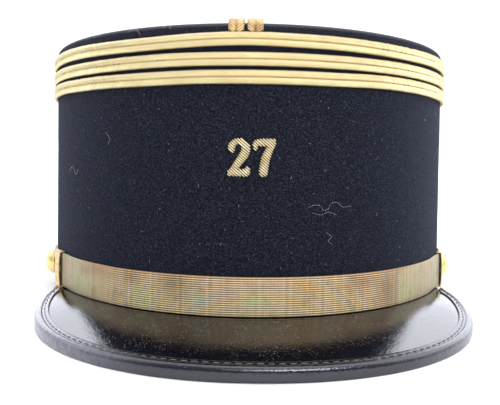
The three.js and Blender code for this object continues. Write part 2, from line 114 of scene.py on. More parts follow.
# %% Add a node
def add_node(tree, kind, inputs=None, **settings):
    made = tree.nodes.new(kind)
    for key, value in settings.items():
        setattr(made, key, value)
    for key, value in (inputs or {}).items():
        socket = made.inputs[key]
        if isinstance(value, bpy.types.NodeSocket):
            tree.links.new(value, socket)
        else:
            socket.default_value = value
    return made


def node_out(tree, kind, inputs=None, **settings):
    """The first output of a new node."""
    return add_node(tree, kind, inputs, **settings).outputs[0]


def calc(tree, operation, *values):
    """The output of a Math node, in a shader or a geometry tree."""
    return node_out(tree, "ShaderNodeMath", dict(enumerate(values)), operation=operation)


def map_range(tree, value, low, high, start=0.0, end=1.0):
    """The output of a Map Range node: low to high becomes start to end, clamped."""
    return node_out(tree, "ShaderNodeMapRange", {"Value": value, 1: low, 2: high, 3: start, 4: end})


def split(tree, vector):
    """The three parts of a vector."""
    return add_node(tree, "ShaderNodeSeparateXYZ", {0: vector}).outputs


def open_group(name, kind, inputs, outputs):
    """A node group with named sockets, and its input and output nodes."""
    tree = bpy.data.node_groups.new(name, kind)
    for label, kind_of_socket, value in inputs:
        socket = tree.interface.new_socket(label, in_out="INPUT", socket_type="NodeSocket" + kind_of_socket)
        if value is not None:
            socket.default_value = value
    for label, kind_of_socket in outputs:
        tree.interface.new_socket(label, in_out="OUTPUT", socket_type="NodeSocket" + kind_of_socket)
    return tree, tree.nodes.new("NodeGroupInput").outputs, tree.nodes.new("NodeGroupOutput").inputs


print("node helpers: add_node, calc, map_range, split, open_group")


# %% [markdown]
# ## Finishes that several materials share
# Wool, leather and metal thread all vary a little from place to place. Three small shader groups
# give that: `grain` is an even fine noise, `tarnish` mixes two colours in soft patches, and `dust`
# scatters pale specks. A group puts out colours and masks only, and each material keeps its own
# shader, so that the sheen, coat and gloss stay easy to find.

# %% Shader group: grain
grain, grain_in, grain_out = open_group(
    "grain",
    "ShaderNodeTree",
    [("Scale", "Float", 1000.0), ("Low", "Float", 0.0), ("High", "Float", 1.0)],
    [("Value", "Float")],
)
grain_place = add_node(grain, "ShaderNodeTexCoord")
grain_noise = node_out(
    grain,
    "ShaderNodeTexNoise",
    {"Vector": grain_place.outputs["Object"], "Scale": grain_in["Scale"], "Detail": 3.0, "Roughness": 0.65},
)
grain_range = map_range(grain, grain_noise, 0.3, 0.7, grain_in["Low"], grain_in["High"])
grain.links.new(grain_range, grain_out["Value"])
print("group:", grain.name, "with", len(grain.nodes), "nodes")

# %% Shader group: tarnish
tarnish, tarnish_in, tarnish_out = open_group(
    "tarnish",
    "ShaderNodeTree",
    [
        ("Clean", "Color", (1, 1, 1, 1)),
        ("Dull", "Color", (0.5, 0.4, 0.3, 1)),
        ("Patch Scale", "Float", 60.0),
        ("Start", "Float", 0.45),
        ("End", "Float", 0.7),
    ],
    [("Color", "Color")],
)
tarnish_place = add_node(tarnish, "ShaderNodeTexCoord")
tarnish_noise = node_out(
    tarnish,
    "ShaderNodeTexNoise",
    {
        "Vector": tarnish_place.outputs["Object"],
        "Scale": tarnish_in["Patch Scale"],
        "Detail": 5.0,
        "Roughness": 0.6,
    },
)
tarnish_mask = node_out(
    tarnish,
    "ShaderNodeMapRange",
    {"Value": tarnish_noise, 1: tarnish_in["Start"], 2: tarnish_in["End"]},
    interpolation_type="SMOOTHSTEP",
)
tarnish_mix = node_out(
    tarnish,
    "ShaderNodeMixRGB",
    {"Fac": tarnish_mask, "Color1": tarnish_in["Clean"], "Color2": tarnish_in["Dull"]},
)
tarnish.links.new(tarnish_mix, tarnish_out["Color"])
print("group:", tarnish.name, "with", len(tarnish.nodes), "nodes")

# %% Shader group: dust
dust, dust_in, dust_out = open_group(
    "dust",
    "ShaderNodeTree",
    [("Scale", "Float", 700.0), ("Size", "Float", 0.2), ("Share", "Float", 0.3)],
    [("Mask", "Float")],
)
dust_place = add_node(dust, "ShaderNodeTexCoord")
dust_cells = add_node(
    dust, "ShaderNodeTexVoronoi", {"Vector": dust_place.outputs["Object"], "Scale": dust_in["Scale"]}
)
dust_pick = add_node(dust, "ShaderNodeSeparateColor", {"Color": dust_cells.outputs["Color"]})
dust_radius = calc(dust, "MULTIPLY", dust_in["Size"], dust_pick.outputs[1])
dust_near = calc(dust, "LESS_THAN", dust_cells.outputs["Distance"], dust_radius)
dust_some = calc(dust, "LESS_THAN", dust_pick.outputs[0], dust_in["Share"])
dust.links.new(calc(dust, "MULTIPLY", dust_near, dust_some), dust_out["Mask"])
print("group:", dust.name, "with", len(dust.nodes), "nodes")


# %% Start a material
def start_material(name, **sockets):
    """A new material, its tree and its Principled shader with the given constant sockets."""
    material = bpy.data.materials.new(name)
    material.use_nodes = True
    tree = material.node_tree
    shader = tree.nodes["Principled BSDF"]
    for label, value in sockets.items():
        shader.inputs[label.replace("_", " ")].default_value = value
    return material, tree, shader


def use_group(tree, group, **inputs):
    made = add_node(tree, "ShaderNodeGroup", node_tree=group)
    for label, value in inputs.items():
        socket = made.inputs[label.replace("_", " ")]
        if isinstance(value, bpy.types.NodeSocket):
            tree.links.new(value, socket)
        else:
            socket.default_value = value
    return made.outputs


def mix_colours(tree, factor, first, second, blend="MIX"):
    inputs = {"Fac": factor, "Color1": first, "Color2": second}
    return node_out(tree, "ShaderNodeMixRGB", inputs, blend_type=blend)


def bump(tree, shader, height, distance, strength=1.0):
    inputs = {"Height": height, "Distance": distance, "Strength": strength}
    tree.links.new(node_out(tree, "ShaderNodeBump", inputs), shader.inputs["Normal"])


def patchy(tree, clean, dull, scale, start, end):
    """Two colours in soft patches: the first below start, the second above end."""
    sockets = use_group(tree, tarnish, Clean=clean, Dull=dull, Patch_Scale=scale, Start=start, End=end)
    return sockets["Color"]


def read_attribute(tree, name, output="Fac"):
    return add_node(tree, "ShaderNodeAttribute", attribute_name=name).outputs[output]


def upward(tree):
    """How far a face looks up: the z of its normal."""
    return split(tree, add_node(tree, "ShaderNodeNewGeometry").outputs["Normal"])[2]


print("material helpers: start_material, use_group, mix_colours, bump, patchy, read_attribute, upward")

# %% [markdown]
# ## Wool cloth
# The crown is covered in a fulled wool so dark that it is nearly black. Its short nap hides the
# weave and catches light at the edges, where we look along the fibres. One fine grain gives the nap
# its speckle and its bump, and the Principled shader's sheen gives the pale edges. Faces that look
# upwards, most of all the rolled edge, also get a painted sheen: the height of the normal mixes in a
# paler colour there, for the light from above.

# %% Material: wool
wool, tree, shader = start_material(
    "navy_wool",
    Roughness=0.95,
    Specular_IOR_Level=0.06,
    Sheen_Weight=0.1,
    Sheen_Roughness=0.4,
    Sheen_Tint=(0.62, 0.7, 1.0, 1),
)
wool_nap = use_group(tree, grain, Scale=2100.0)["Value"]
wool_speckle = calc(tree, "POWER", wool_nap, 3.0)
wool_colour = mix_colours(tree, wool_speckle, (0.003, 0.0036, 0.0076, 1), (0.048, 0.052, 0.08, 1))
wool_specks = use_group(tree, dust, Scale=700.0, Size=0.16, Share=0.16)["Mask"]
wool_specks = calc(tree, "MULTIPLY", wool_specks, 0.4)
wool_colour = mix_colours(tree, wool_specks, wool_colour, (0.35, 0.35, 0.38, 1))
wool_up = upward(tree)
# Painted sheen: faces that look up, the rolled edge most of all and the flat top less, are mixed towards a
# paler colour for the light from above.
wool_sheen_upper = map_range(tree, wool_up, 0.05, 0.7, 0.0, 0.6)
wool_sheen_flat = map_range(tree, wool_up, 0.9, 0.99, 1.0, 0.2)
wool_painted_sheen = calc(tree, "MULTIPLY", wool_sheen_upper, wool_sheen_flat)
wool_colour = mix_colours(tree, wool_painted_sheen, wool_colour, (0.13, 0.135, 0.15, 1))
tree.links.new(wool_colour, shader.inputs["Base Color"])
bump(tree, shader, wool_nap, 0.3 * MM, 0.6)
print("material:", wool.name)

# %% [markdown]
# ## Metal thread
# Braid, lace and bullion are all silk or cotton wound with fine gilt wire. Clean gilt is pale and
# bright; air turns it brown in soft patches. The braid is the cleanest and the strap the dullest.
# Every laid thread carries a random value from its geometry tree, which shifts its tone a little.


# %% Materials: gold braid
def make_braid(name, clean, dull, upper):
    """A braid finish: patchy gilt, toned thread by thread, with painted shade at the thread ends and a
    painted tint on faces that look up.
    """
    material, tree, shader = start_material(name, Roughness=0.34, Metallic=0.55)
    patch = patchy(tree, clean, dull, 300.0, 0.4, 0.7)
    tone = mix_colours(tree, read_attribute(tree, "thread"), (0.46, 0.36, 0.19, 1), (1.0, 1.0, 1.0, 1))
    body = mix_colours(tree, 1.0, patch, tone, "MULTIPLY")
    # Painted shade: the ends of the threads, at the ridges' edges and by the groove, are mixed towards brown.
    end = map_range(tree, read_attribute(tree, "tip"), 0.6, 1.0, 0.0, 0.6)
    body = mix_colours(tree, end, body, (0.56, 0.38, 0.13, 1))
    # Painted light: faces that look up are mixed towards the upper colour, as the light from above falls on
    # them.
    top = map_range(tree, upward(tree), 0.2, 0.75, 0.0, 0.8)
    tree.links.new(mix_colours(tree, top, body, upper), shader.inputs["Base Color"])
    bump(tree, shader, use_group(tree, grain, Scale=5200.0)["Value"], 0.06 * MM, 0.6)
    return material


braid_gold = make_braid("gold_braid", (0.97, 0.91, 0.56, 1), (0.95, 0.82, 0.50, 1), (0.92, 0.72, 0.53, 1))
# The front braids get a darker copy of the same braid: painted shade, so that their upturned faces don't wash
# out under the light above.
braid_shaded = make_braid("brown_braid", (0.95, 0.78, 0.42, 1), (0.55, 0.36, 0.20, 1), (0.78, 0.58, 0.36, 1))
print("materials:", braid_gold.name, braid_shaded.name)

# %% Material: bullion
bullion, tree, shader = start_material("bullion", Roughness=0.36, Metallic=0.5)
bullion_patch = patchy(tree, (0.98, 0.88, 0.60, 1), (0.92, 0.76, 0.46, 1), 300.0, 0.45, 0.7)
bullion_thread = read_attribute(tree, "thread")
bullion_tone = mix_colours(tree, bullion_thread, (0.86, 0.82, 0.74, 1), (1.0, 1.0, 1.0, 1))
bullion_colour = mix_colours(tree, 1.0, bullion_patch, bullion_tone, "MULTIPLY")
tree.links.new(bullion_colour, shader.inputs["Base Color"])
bump(tree, shader, use_group(tree, grain, Scale=6000.0)["Value"], 0.08 * MM, 0.8)
print("material:", bullion.name)

# %% Material: gold lace
WEFT_PITCH = 0.42 * MM
lace, tree, shader = start_material("gold_lace", Roughness=0.48, Metallic=0.4)
lace_worn = patchy(tree, read_attribute(tree, "tint", "Color"), (0.40, 0.28, 0.16, 1), 240.0, 0.5, 0.85)
lace_along = read_attribute(tree, "along")
lace_weft = calc(tree, "SINE", calc(tree, "MULTIPLY", lace_along, 2 * math.pi / WEFT_PITCH))
lace_streak = add_node(
    tree,
    "ShaderNodeTexNoise",
    {"W": calc(tree, "MULTIPLY", lace_along, 900.0), "Scale": 1.0, "Detail": 3.0},
    noise_dimensions="1D",
).outputs[0]
lace_grain = use_group(tree, grain, Scale=2400.0)["Value"]
lace_base = calc(tree, "MULTIPLY_ADD", lace_grain, 0.3, 0.5)
lace_fibres = calc(tree, "MULTIPLY_ADD", lace_streak, 0.7, lace_base)
# Painted shade: the rib attribute darkens the grooves between the ribs.
lace_groove_shade = map_range(tree, read_attribute(tree, "rib"), 0.25, 0.95, 0.12, 1.2)
lace_shade = calc(tree, "MULTIPLY", lace_fibres, lace_groove_shade)
lace_colour = mix_colours(tree, 1.0, lace_worn, lace_shade, "MULTIPLY")
tree.links.new(lace_colour, shader.inputs["Base Color"])
bump(tree, shader, calc(tree, "MULTIPLY_ADD", lace_weft, 0.3, lace_grain), 0.08 * MM, 0.7)
print("material:", lace.name)

# %% [markdown]
# ## Gilt metal
# The buttons are stamped brass with a thin wash of gold, handled for years, so their gloss is uneven.
# They differ from the thread in being solid metal: a grain drives the roughness, not the height.

# %% Material: gilt buttons
gilt, tree, shader = start_material("gilt", Metallic=0.7)
gilt_patch = patchy(tree, (0.92, 0.74, 0.32, 1), (0.86, 0.64, 0.25, 1), 320.0, 0.5, 0.75)
tree.links.new(gilt_patch, shader.inputs["Base Color"])
gilt_rough = use_group(tree, grain, Scale=900.0, Low=0.3, High=0.42)["Value"]
tree.links.new(gilt_rough, shader.inputs["Roughness"])
print("material:", gilt.name)

# %% [markdown]
# ## Patent leather
# The visor is leather under many coats of varnish, so it reflects like black glass. Age shows as
# dust, fine scratches and a skin that is not quite flat. The varnish is the shader's own gloss, and
# the dust and scratches are thin pale masks over the black.

# %% Material: patent leather
patent, tree, shader = start_material("patent_leather", IOR=2.1, Specular_Tint=(0.94, 0.95, 1.0, 1))
patent_dust = use_group(tree, dust, Scale=1900.0, Size=0.32, Share=0.85)["Mask"]
patent_haze = use_group(tree, grain, Scale=140.0)["Value"]
patent_near = map_range(tree, read_attribute(tree, "across"), 22 * MM, 36 * MM, 0.6, 0.15)
patent_thick = calc(tree, "MULTIPLY", patent_haze, patent_near)
patent_veil = calc(tree, "MULTIPLY", patent_dust, patent_thick)
patent_stretch = node_out(
    tree,
    "ShaderNodeMapping",
    {
        "Vector": add_node(tree, "ShaderNodeTexCoord").outputs["Object"],
        "Rotation": (0, 0, 0.5),
        "Scale": (40, 900, 40),
    },
)
patent_lines = node_out(tree, "ShaderNodeTexNoise", {"Vector": patent_stretch, "Scale": 1.0, "Detail": 2.0})
patent_scratch = map_range(tree, patent_lines, 0.71, 0.76)
patent_scratch = calc(tree, "MULTIPLY", patent_scratch, 0.2)
patent_marks = calc(tree, "MAXIMUM", patent_veil, patent_scratch)
patent_colour = mix_colours(tree, patent_marks, (0.0015, 0.0015, 0.003, 1), (0.30, 0.29, 0.28, 1))
tree.links.new(patent_colour, shader.inputs["Base Color"])
patent_gloss = calc(tree, "MULTIPLY_ADD", patent_haze, 0.06, 0.06)
patent_rough = calc(tree, "MULTIPLY_ADD", patent_marks, 0.5, patent_gloss)
tree.links.new(patent_rough, shader.inputs["Roughness"])
patent_skin = use_group(tree, grain, Scale=260.0)["Value"]
patent_pores = use_group(tree, grain, Scale=1300.0)["Value"]
bump(tree, shader, calc(tree, "ADD", patent_pores, patent_skin), 0.05 * MM, 0.35)
print("material:", patent.name)

# %% [markdown]
# ## Edge leather
# The visor's binding is a softer black leather with less varnish. Its corners are painted grey, partly
# rubbed wear and partly a painted reflection of the white surroundings, stronger at the left. One
# flake is gone from the bead, so that brown leather shows. The piece carries both places as
# attributes, and a grain breaks up their borders.

# %% Material: edge leather
edge_leather, tree, shader = start_material("edge_leather", IOR=1.75, Specular_Tint=(0.86, 0.88, 1.0, 1))
edge_worn = patchy(tree, (0.003, 0.003, 0.005, 1), (0.014, 0.014, 0.02, 1), 150.0, 0.45, 0.75)
edge_grain = use_group(tree, grain, Scale=500.0, Low=0.4, High=1.0)["Value"]
# Painted grey at the corners: rubbed wear together with a painted reflection.
edge_rub_and_reflection_mask = calc(tree, "MULTIPLY", read_attribute(tree, "rub"), edge_grain)
edge_colour = mix_colours(tree, edge_rub_and_reflection_mask, edge_worn, (0.2, 0.2, 0.25, 1))
edge_flakes = use_group(tree, grain, Scale=1100.0)["Value"]
edge_chip = calc(tree, "MULTIPLY", read_attribute(tree, "chip"), edge_flakes)
edge_bare = calc(tree, "GREATER_THAN", edge_chip, 0.45)
edge_colour = mix_colours(tree, edge_bare, edge_colour, (0.30, 0.11, 0.05, 1))
edge_dust = use_group(tree, dust, Scale=1300.0, Size=0.3, Share=0.3)["Mask"]
edge_dust = calc(tree, "MULTIPLY", edge_dust, 0.2)
edge_colour = mix_colours(tree, edge_dust, edge_colour, (0.3, 0.3, 0.32, 1))
tree.links.new(edge_colour, shader.inputs["Base Color"])
edge_rough = use_group(tree, grain, Scale=500.0, Low=0.08, High=0.2)["Value"]
tree.links.new(edge_rough, shader.inputs["Roughness"])
bump(tree, shader, use_group(tree, grain, Scale=1000.0)["Value"], 0.1 * MM, 0.5)
print("material:", edge_leather.name)

# %% [markdown]
# ## Thread and lint
# Sewing thread and lint are matt fibres that are only a few pixels wide, so two tones and a grain
# between them are enough. One helper makes all of them.


# %% Materials: stitching thread and lint
def speckled(name, scale, dark, pale, **sockets):
    """A material whose colour wavers between two tones."""
    material, tree, shader = start_material(name, **sockets)
    tone = use_group(tree, grain, Scale=scale)["Value"]
    tree.links.new(mix_colours(tree, tone, dark, pale), shader.inputs["Base Color"])
    return material


thread_dark = speckled("stitch_thread", 3000.0, (0.05, 0.05, 0.05, 1), (0.2, 0.19, 0.18, 1), Roughness=0.6)
thread_brown = speckled("tack_thread", 3000.0, (0.03, 0.02, 0.012, 1), (0.12, 0.07, 0.03, 1), Roughness=0.7)
lint = speckled(
    "lint", 900.0, (0.30, 0.29, 0.27, 1), (0.75, 0.74, 0.72, 1), Roughness=0.9, Sheen_Weight=0.3
)
print("materials:", thread_dark.name, thread_brown.name, lint.name)

# %% [markdown]
# ## Making and finishing pieces
# Some pieces are swept or lofted in plain mesh code, and some grow from a geometry tree. Either way
# the finished piece is a plain mesh at the origin, which then rides on the cap's one body.


# %% Loft, grow and hand over
def new_piece(name, points, faces=(), edges=()):
    mesh = bpy.data.meshes.new(name)
    mesh.from_pydata([tuple(p) for p in points], list(edges), list(faces))
    piece = bpy.data.objects.new(name, mesh)
    bpy.context.scene.collection.objects.link(piece)
    return piece


def loft(name, rows, ring=False):
    """A closed solid through equal sections. Its attributes give each point's place along and across."""
    count = len(rows[0])
    points = [point for row in rows for point in row]
    faces = []
    for i in range(len(rows) if ring else len(rows) - 1):
        here, there = i * count, (i + 1) % len(rows) * count
        for j in range(count):
            k = (j + 1) % count
            faces.append((here + j, there + j, there + k, here + k))
    if not ring:
        last = (len(rows) - 1) * count
        faces.append(tuple(range(count)))
        faces.append(tuple(range(last + count - 1, last - 1, -1)))
    piece = new_piece(name, points, faces)
    face_outwards(piece.data)
    along, across = 0.0, []
    for i, row in enumerate(rows):
        along += (row[0] - rows[i - 1][0]).length if i else 0
        across += [(along, (row[j] - row[0]).length) for j in range(count)]
    for place, label in enumerate(("along", "across")):
        attribute = piece.data.attributes.new(label, "FLOAT", "POINT")
        attribute.data.foreach_set("value", [pair[place] for pair in across])
    return piece


def face_outwards(mesh):
    work = bmesh.new()
    work.from_mesh(mesh)
    bmesh.ops.recalc_face_normals(work, faces=work.faces)
    if work.calc_volume(signed=True) < 0:
        bmesh.ops.reverse_faces(work, faces=work.faces)
    work.to_mesh(mesh)
    work.free()


def set_attribute(piece, label, kind, values):
    field = {"FLOAT": "value", "FLOAT_VECTOR": "vector", "FLOAT_COLOR": "color"}[kind]
    attribute = piece.data.attributes.new(label, kind, "POINT")
    attribute.data.foreach_set(field, values)


def close_tree(tree, geometry, inputs, outputs):
    """Ends a geometry tree with real geometry in its material."""
    real = node_out(tree, "GeometryNodeRealizeInstances", {0: geometry})
    done = add_node(tree, "GeometryNodeSetMaterial", {"Geometry": real, "Material": inputs["Finish"]})
    tree.links.new(done.outputs[0], outputs["Geometry"])
    print("tree:", tree.name, "with", len(tree.nodes), "nodes")


def grow(host, tree, settings):
    """Runs a geometry tree on a host and keeps the result as the host's own plain mesh."""
    modifier = host.modifiers.new(tree.name, "NODES")
    modifier.node_group = tree
    for socket in tree.interface.items_tree:
        if socket.in_out == "INPUT" and socket.name in settings:
            modifier[socket.identifier] = settings[socket.name]
    graph = bpy.context.evaluated_depsgraph_get()
    mesh = bpy.data.meshes.new_from_object(host.evaluated_get(graph), depsgraph=graph)
    host.modifiers.remove(modifier)
    mesh.name = host.name
    host.data = mesh
    return host


def hand_over(piece, slot, *nodes, material=None):
    """Moves a finished piece from the cap's frame to the row's, and gives it to the frame."""
    mesh = piece.data
    mesh.transform(CAP_TO_ROW)
    if material:
        mesh.materials.clear()
        mesh.materials.append(material)
    mesh.polygons.foreach_set("use_smooth", [True] * len(mesh.polygons))
    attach(piece, "root")
    if nodes:
        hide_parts(*nodes)
    print(piece.name, "has", sum(len(p.vertices) - 2 for p in mesh.polygons), "triangles")
    return piece


# %% [markdown]
# ## The crown's wall
# The wall is one oval band with a rolled upper edge. That is a rule: one section swept round an
# oval, narrowed a little with height, raised a little at the front, and pressed flat where its rim
# meets the table. A geometry tree holds the rule, so that the same tree also makes the braid's
# cores from another section. `Curve to Mesh` lays a section's X along the curve's outward normal
# and its Y downwards, so the sections below are drawn as (out, -z).

# %% Geometry tree: oval sweep
sweep, sweep_in, sweep_out = open_group(
    "oval_sweep",
    "GeometryNodeTree",
    [
        ("Section", "Geometry", None),
        ("Half Width", "Float", HALF_WIDTH),
        ("Half Length", "Float", HALF_LENGTH),
        ("Segments", "Int", 288),
        ("Taper", "Float", TAPER),
        ("Front Rise", "Float", FRONT_RISE),
        ("Rest Slope", "Float", math.tan(REST_TILT)),
        ("Rest Drop", "Float", REST_DROP),
        ("Finish", "Material", None),
    ],
    [("Geometry", "Geometry")],
)
sweep_circle = node_out(
    sweep, "GeometryNodeCurvePrimitiveCircle", {"Resolution": sweep_in["Segments"], "Radius": 1.0}
)
sweep_axes = node_out(
    sweep, "ShaderNodeCombineXYZ", {"X": sweep_in["Half Width"], "Y": sweep_in["Half Length"], "Z": 1.0}
)
sweep_place = node_out(sweep, "GeometryNodeInputPosition")
sweep_stretched = node_out(
    sweep, "ShaderNodeVectorMath", {0: sweep_place, 1: sweep_axes}, operation="MULTIPLY"
)
sweep_oval = node_out(
    sweep, "GeometryNodeSetPosition", {"Geometry": sweep_circle, "Position": sweep_stretched}
)
sweep_upright = node_out(sweep, "GeometryNodeSetCurveNormal", {"Curve": sweep_oval}, mode="Z_UP")
sweep_section = node_out(sweep, "GeometryNodeMeshToCurve", {"Mesh": sweep_in["Section"]})
sweep_band = node_out(
    sweep, "GeometryNodeCurveToMesh", {"Curve": sweep_upright, "Profile Curve": sweep_section}
)
sweep_xyz = split(sweep, node_out(sweep, "GeometryNodeInputPosition"))
sweep_narrow = calc(sweep, "SUBTRACT", 1.0, calc(sweep, "MULTIPLY", sweep_in["Taper"], sweep_xyz[2]))
sweep_front = calc(sweep, "DIVIDE", sweep_xyz[1], sweep_in["Half Length"])
sweep_rise = calc(sweep, "MULTIPLY", sweep_front, sweep_in["Front Rise"])
sweep_raised = calc(sweep, "SUBTRACT", sweep_xyz[2], sweep_rise)
sweep_slope = calc(sweep, "MULTIPLY", sweep_xyz[1], sweep_in["Rest Slope"])
sweep_table = calc(sweep, "SUBTRACT", sweep_slope, sweep_in["Rest Drop"])
sweep_rim = calc(sweep, "LESS_THAN", sweep_xyz[2], 0.001)
sweep_back = calc(sweep, "SUBTRACT", sweep_xyz[2], sweep_raised)
sweep_upper = calc(sweep, "MULTIPLY_ADD", sweep_rim, sweep_back, sweep_raised)
sweep_final = node_out(
    sweep,
    "ShaderNodeCombineXYZ",
    {
        "X": calc(sweep, "MULTIPLY", sweep_xyz[0], sweep_narrow),
        "Y": calc(sweep, "MULTIPLY", sweep_xyz[1], sweep_narrow),
        "Z": calc(sweep, "MAXIMUM", sweep_upper, sweep_table),
    },
)
sweep_shaped = node_out(sweep, "GeometryNodeSetPosition", {"Geometry": sweep_band, "Position": sweep_final})
close_tree(sweep, sweep_shaped, sweep_in, sweep_out)


# %% Crown wall
def section_host(name, section):
    """A closed outline of (out, z) places, drawn as the sweep wants it."""
    points = [(out, -z, 0) for out, z in section]
    edges = [(i, (i + 1) % len(points)) for i in range(len(points))]
    return new_piece(name, points, edges=edges)


CREST_RADIUS = WALL / 2
CREST_STEPS = 16
WALL_ROWS = 12
crest_z = CROWN_HEIGHT - CREST_RADIUS
wall_section = [(-WALL, lerp(crest_z, 0, row / WALL_ROWS)) for row in range(WALL_ROWS + 1)]
wall_section += [(0, lerp(0, crest_z, row / WALL_ROWS)) for row in range(WALL_ROWS)]
for step in range(CREST_STEPS):
    turn = math.pi * step / CREST_STEPS
    wall_section.append((CREST_RADIUS * (math.cos(turn) - 1), crest_z + CREST_RADIUS * math.sin(turn)))
crown_cloth = grow(section_host("crown_cloth", wall_section), sweep, {"Finish": wool})
face_outwards(crown_cloth.data)
hand_over(crown_cloth, "cloth", "crown_wall")
solid_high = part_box("crown_wall")[1]
cloth_high = [max(v.co[i] for v in crown_cloth.data.vertices) for i in range(3)]
print("wall against its solid, mm:", [round(1000 * (a - b), 3) for a, b in zip(cloth_high, solid_high)])

# %% [markdown]
# ## The top
# The top is an oval of the same cloth, sewn in just below the rolled edge. It isn't a hard plate:
# it sags by a millimetre in the middle, and dips at the seam. Rings of points from the seam to the
# middle make it, with a height for each ring.

# %% Crown top
TOP_RECESS = 2.6 * MM
TOP_THICKNESS = 2 * MM
TOP_SAG = 0.9 * MM
TOP_RINGS = [1, 0.992, 0.98, 0.96, 0.92, 0.84, 0.7, 0.5, 0.25]
TOP_SEGMENTS = 192


def top_height(share, y):
    seam_dip = 0.5 * MM * smoothstep(share, 0.965, 1)
    sag = TOP_SAG * (1 - share * share)
    return CROWN_HEIGHT - TOP_RECESS - FRONT_RISE * y / HALF_LENGTH - seam_dip - sag


def top_ring(share, drop):
    ring = []
    for segment in range(TOP_SEGMENTS):
        angle = 2 * math.pi * segment / TOP_SEGMENTS
        edge = oval_point(angle, CROWN_HEIGHT - TOP_RECESS, -WALL - SEAM_GAP)
        y = edge.y * share
        ring.append(Vector((edge.x * share, y, top_height(share, y) - drop)))
    return ring


top_rows = [top_ring(share, 0) for share in reversed(TOP_RINGS)]
top_rows += [top_ring(share, TOP_THICKNESS - TOP_SAG) for share in TOP_RINGS]
top_panel = loft("top_panel", top_rows)
hand_over(top_panel, "cloth", "crown_top", material=wool)

# %% [markdown]
# ## Laid threads
# Soutache braid and rows of stitches have one thing in common: short threads laid along a line, each
# turned by the same slant. One geometry tree does both. The host is a polyline whose points carry
# three attributes: `outward`, the direction away from the cloth, `reach`, how far a thread stretches
# there, and `turn`, which way it slants. The slant is an input, and so are the thread's sizes.

# %% Geometry tree: laid threads
laid, laid_in, laid_out = open_group(
    "laid_threads",
    "GeometryNodeTree",
    [
        ("Lines", "Geometry", None),
        ("Pitch", "Float", 0.8 * MM),
        ("Thread Width", "Float", 0.8 * MM),
        ("Thread Height", "Float", 0.8 * MM),
        ("Slant", "Float", 0.8),
        ("Unevenness", "Float", 0.08),
        ("Facets", "Int", 6),
        ("Rings", "Int", 6),
        ("Seed", "Int", 1),
        ("Core", "Object", None),
        ("Finish", "Material", None),
    ],
    [("Geometry", "Geometry")],
)
laid_lines = node_out(laid, "GeometryNodeMeshToCurve", {"Mesh": laid_in["Lines"]})
laid_even = node_out(
    laid, "GeometryNodeResampleCurve", {"Curve": laid_lines, "Length": laid_in["Pitch"]}, mode="LENGTH"
)
laid_outward, laid_reach, laid_turn = [
    node_out(laid, "GeometryNodeInputNamedAttribute", {"Name": name}, data_type=kind)
    for name, kind in (("outward", "FLOAT_VECTOR"), ("reach", "FLOAT"), ("turn", "FLOAT"))
]
laid_tangent = node_out(laid, "GeometryNodeInputTangent")
laid_axes = node_out(
    laid,
    "FunctionNodeAxesToRotation",
    {"Primary Axis": laid_outward, "Secondary Axis": laid_tangent},
    primary_axis="Z",
    secondary_axis="X",
)
laid_angle = calc(laid, "MULTIPLY", laid_in["Slant"], laid_turn)
laid_slant = node_out(laid, "FunctionNodeAxisAngleToRotation", {"Axis": (0, 0, 1), "Angle": laid_angle})
laid_rotation = node_out(
    laid,
    "FunctionNodeRotateRotation",
    {"Rotation": laid_axes, "Rotate By": laid_slant},
    rotation_space="LOCAL",
)
laid_low = calc(laid, "SUBTRACT", 1.0, laid_in["Unevenness"])
laid_high = calc(laid, "ADD", 1.0, laid_in["Unevenness"])
laid_random = add_node(
    laid, "FunctionNodeRandomValue", {2: laid_low, 3: laid_high, "Seed": laid_in["Seed"]}, data_type="FLOAT"
)
laid_uneven = laid_random.outputs[1]
laid_scale = node_out(
    laid,
    "ShaderNodeCombineXYZ",
    {
        "X": calc(laid, "MULTIPLY", laid_reach, laid_uneven),
        "Y": laid_in["Thread Width"],
        "Z": calc(laid, "MULTIPLY", laid_in["Thread Height"], laid_uneven),
    },
)
laid_thread = node_out(
    laid,
    "GeometryNodeMeshUVSphere",
    {"Segments": laid_in["Facets"], "Rings": laid_in["Rings"], "Radius": 0.5},
)
laid_along = node_out(
    laid, "GeometryNodeTransform", {"Geometry": laid_thread, "Rotation": (0, math.pi / 2, 0)}
)
laid_length = split(laid, node_out(laid, "GeometryNodeInputPosition"))[0]
laid_tip = calc(laid, "MULTIPLY", calc(laid, "ABSOLUTE", laid_length), 2.0)
laid_tipped = node_out(
    laid,
    "GeometryNodeStoreNamedAttribute",
    {"Geometry": laid_along, "Name": "tip", "Value": laid_tip},
    data_type="FLOAT",
    domain="POINT",
)
laid_copies = node_out(
    laid,
    "GeometryNodeInstanceOnPoints",
    {
        "Points": laid_even,
        "Instance": laid_tipped,
        "Rotation": laid_rotation,
        "Scale": laid_scale,
    },
)
laid_seed = calc(laid, "ADD", laid_in["Seed"], 7)
laid_tone = add_node(laid, "FunctionNodeRandomValue", {2: 0.8, 3: 1.0, "Seed": laid_seed}, data_type="FLOAT")
laid_named = node_out(
    laid,
    "GeometryNodeStoreNamedAttribute",
    {"Geometry": laid_copies, "Name": "thread", "Value": laid_tone.outputs[1]},
    data_type="FLOAT",
    domain="INSTANCE",
)
laid_core = add_node(laid, "GeometryNodeObjectInfo", {"Object": laid_in["Core"]}, transform_space="ORIGINAL")
laid_joined = add_node(laid, "GeometryNodeJoinGeometry")
laid.links.new(laid_named, laid_joined.inputs[0])
laid.links.new(laid_core.outputs["Geometry"], laid_joined.inputs[0])
close_tree(laid, laid_joined.outputs[0], laid_in, laid_out)


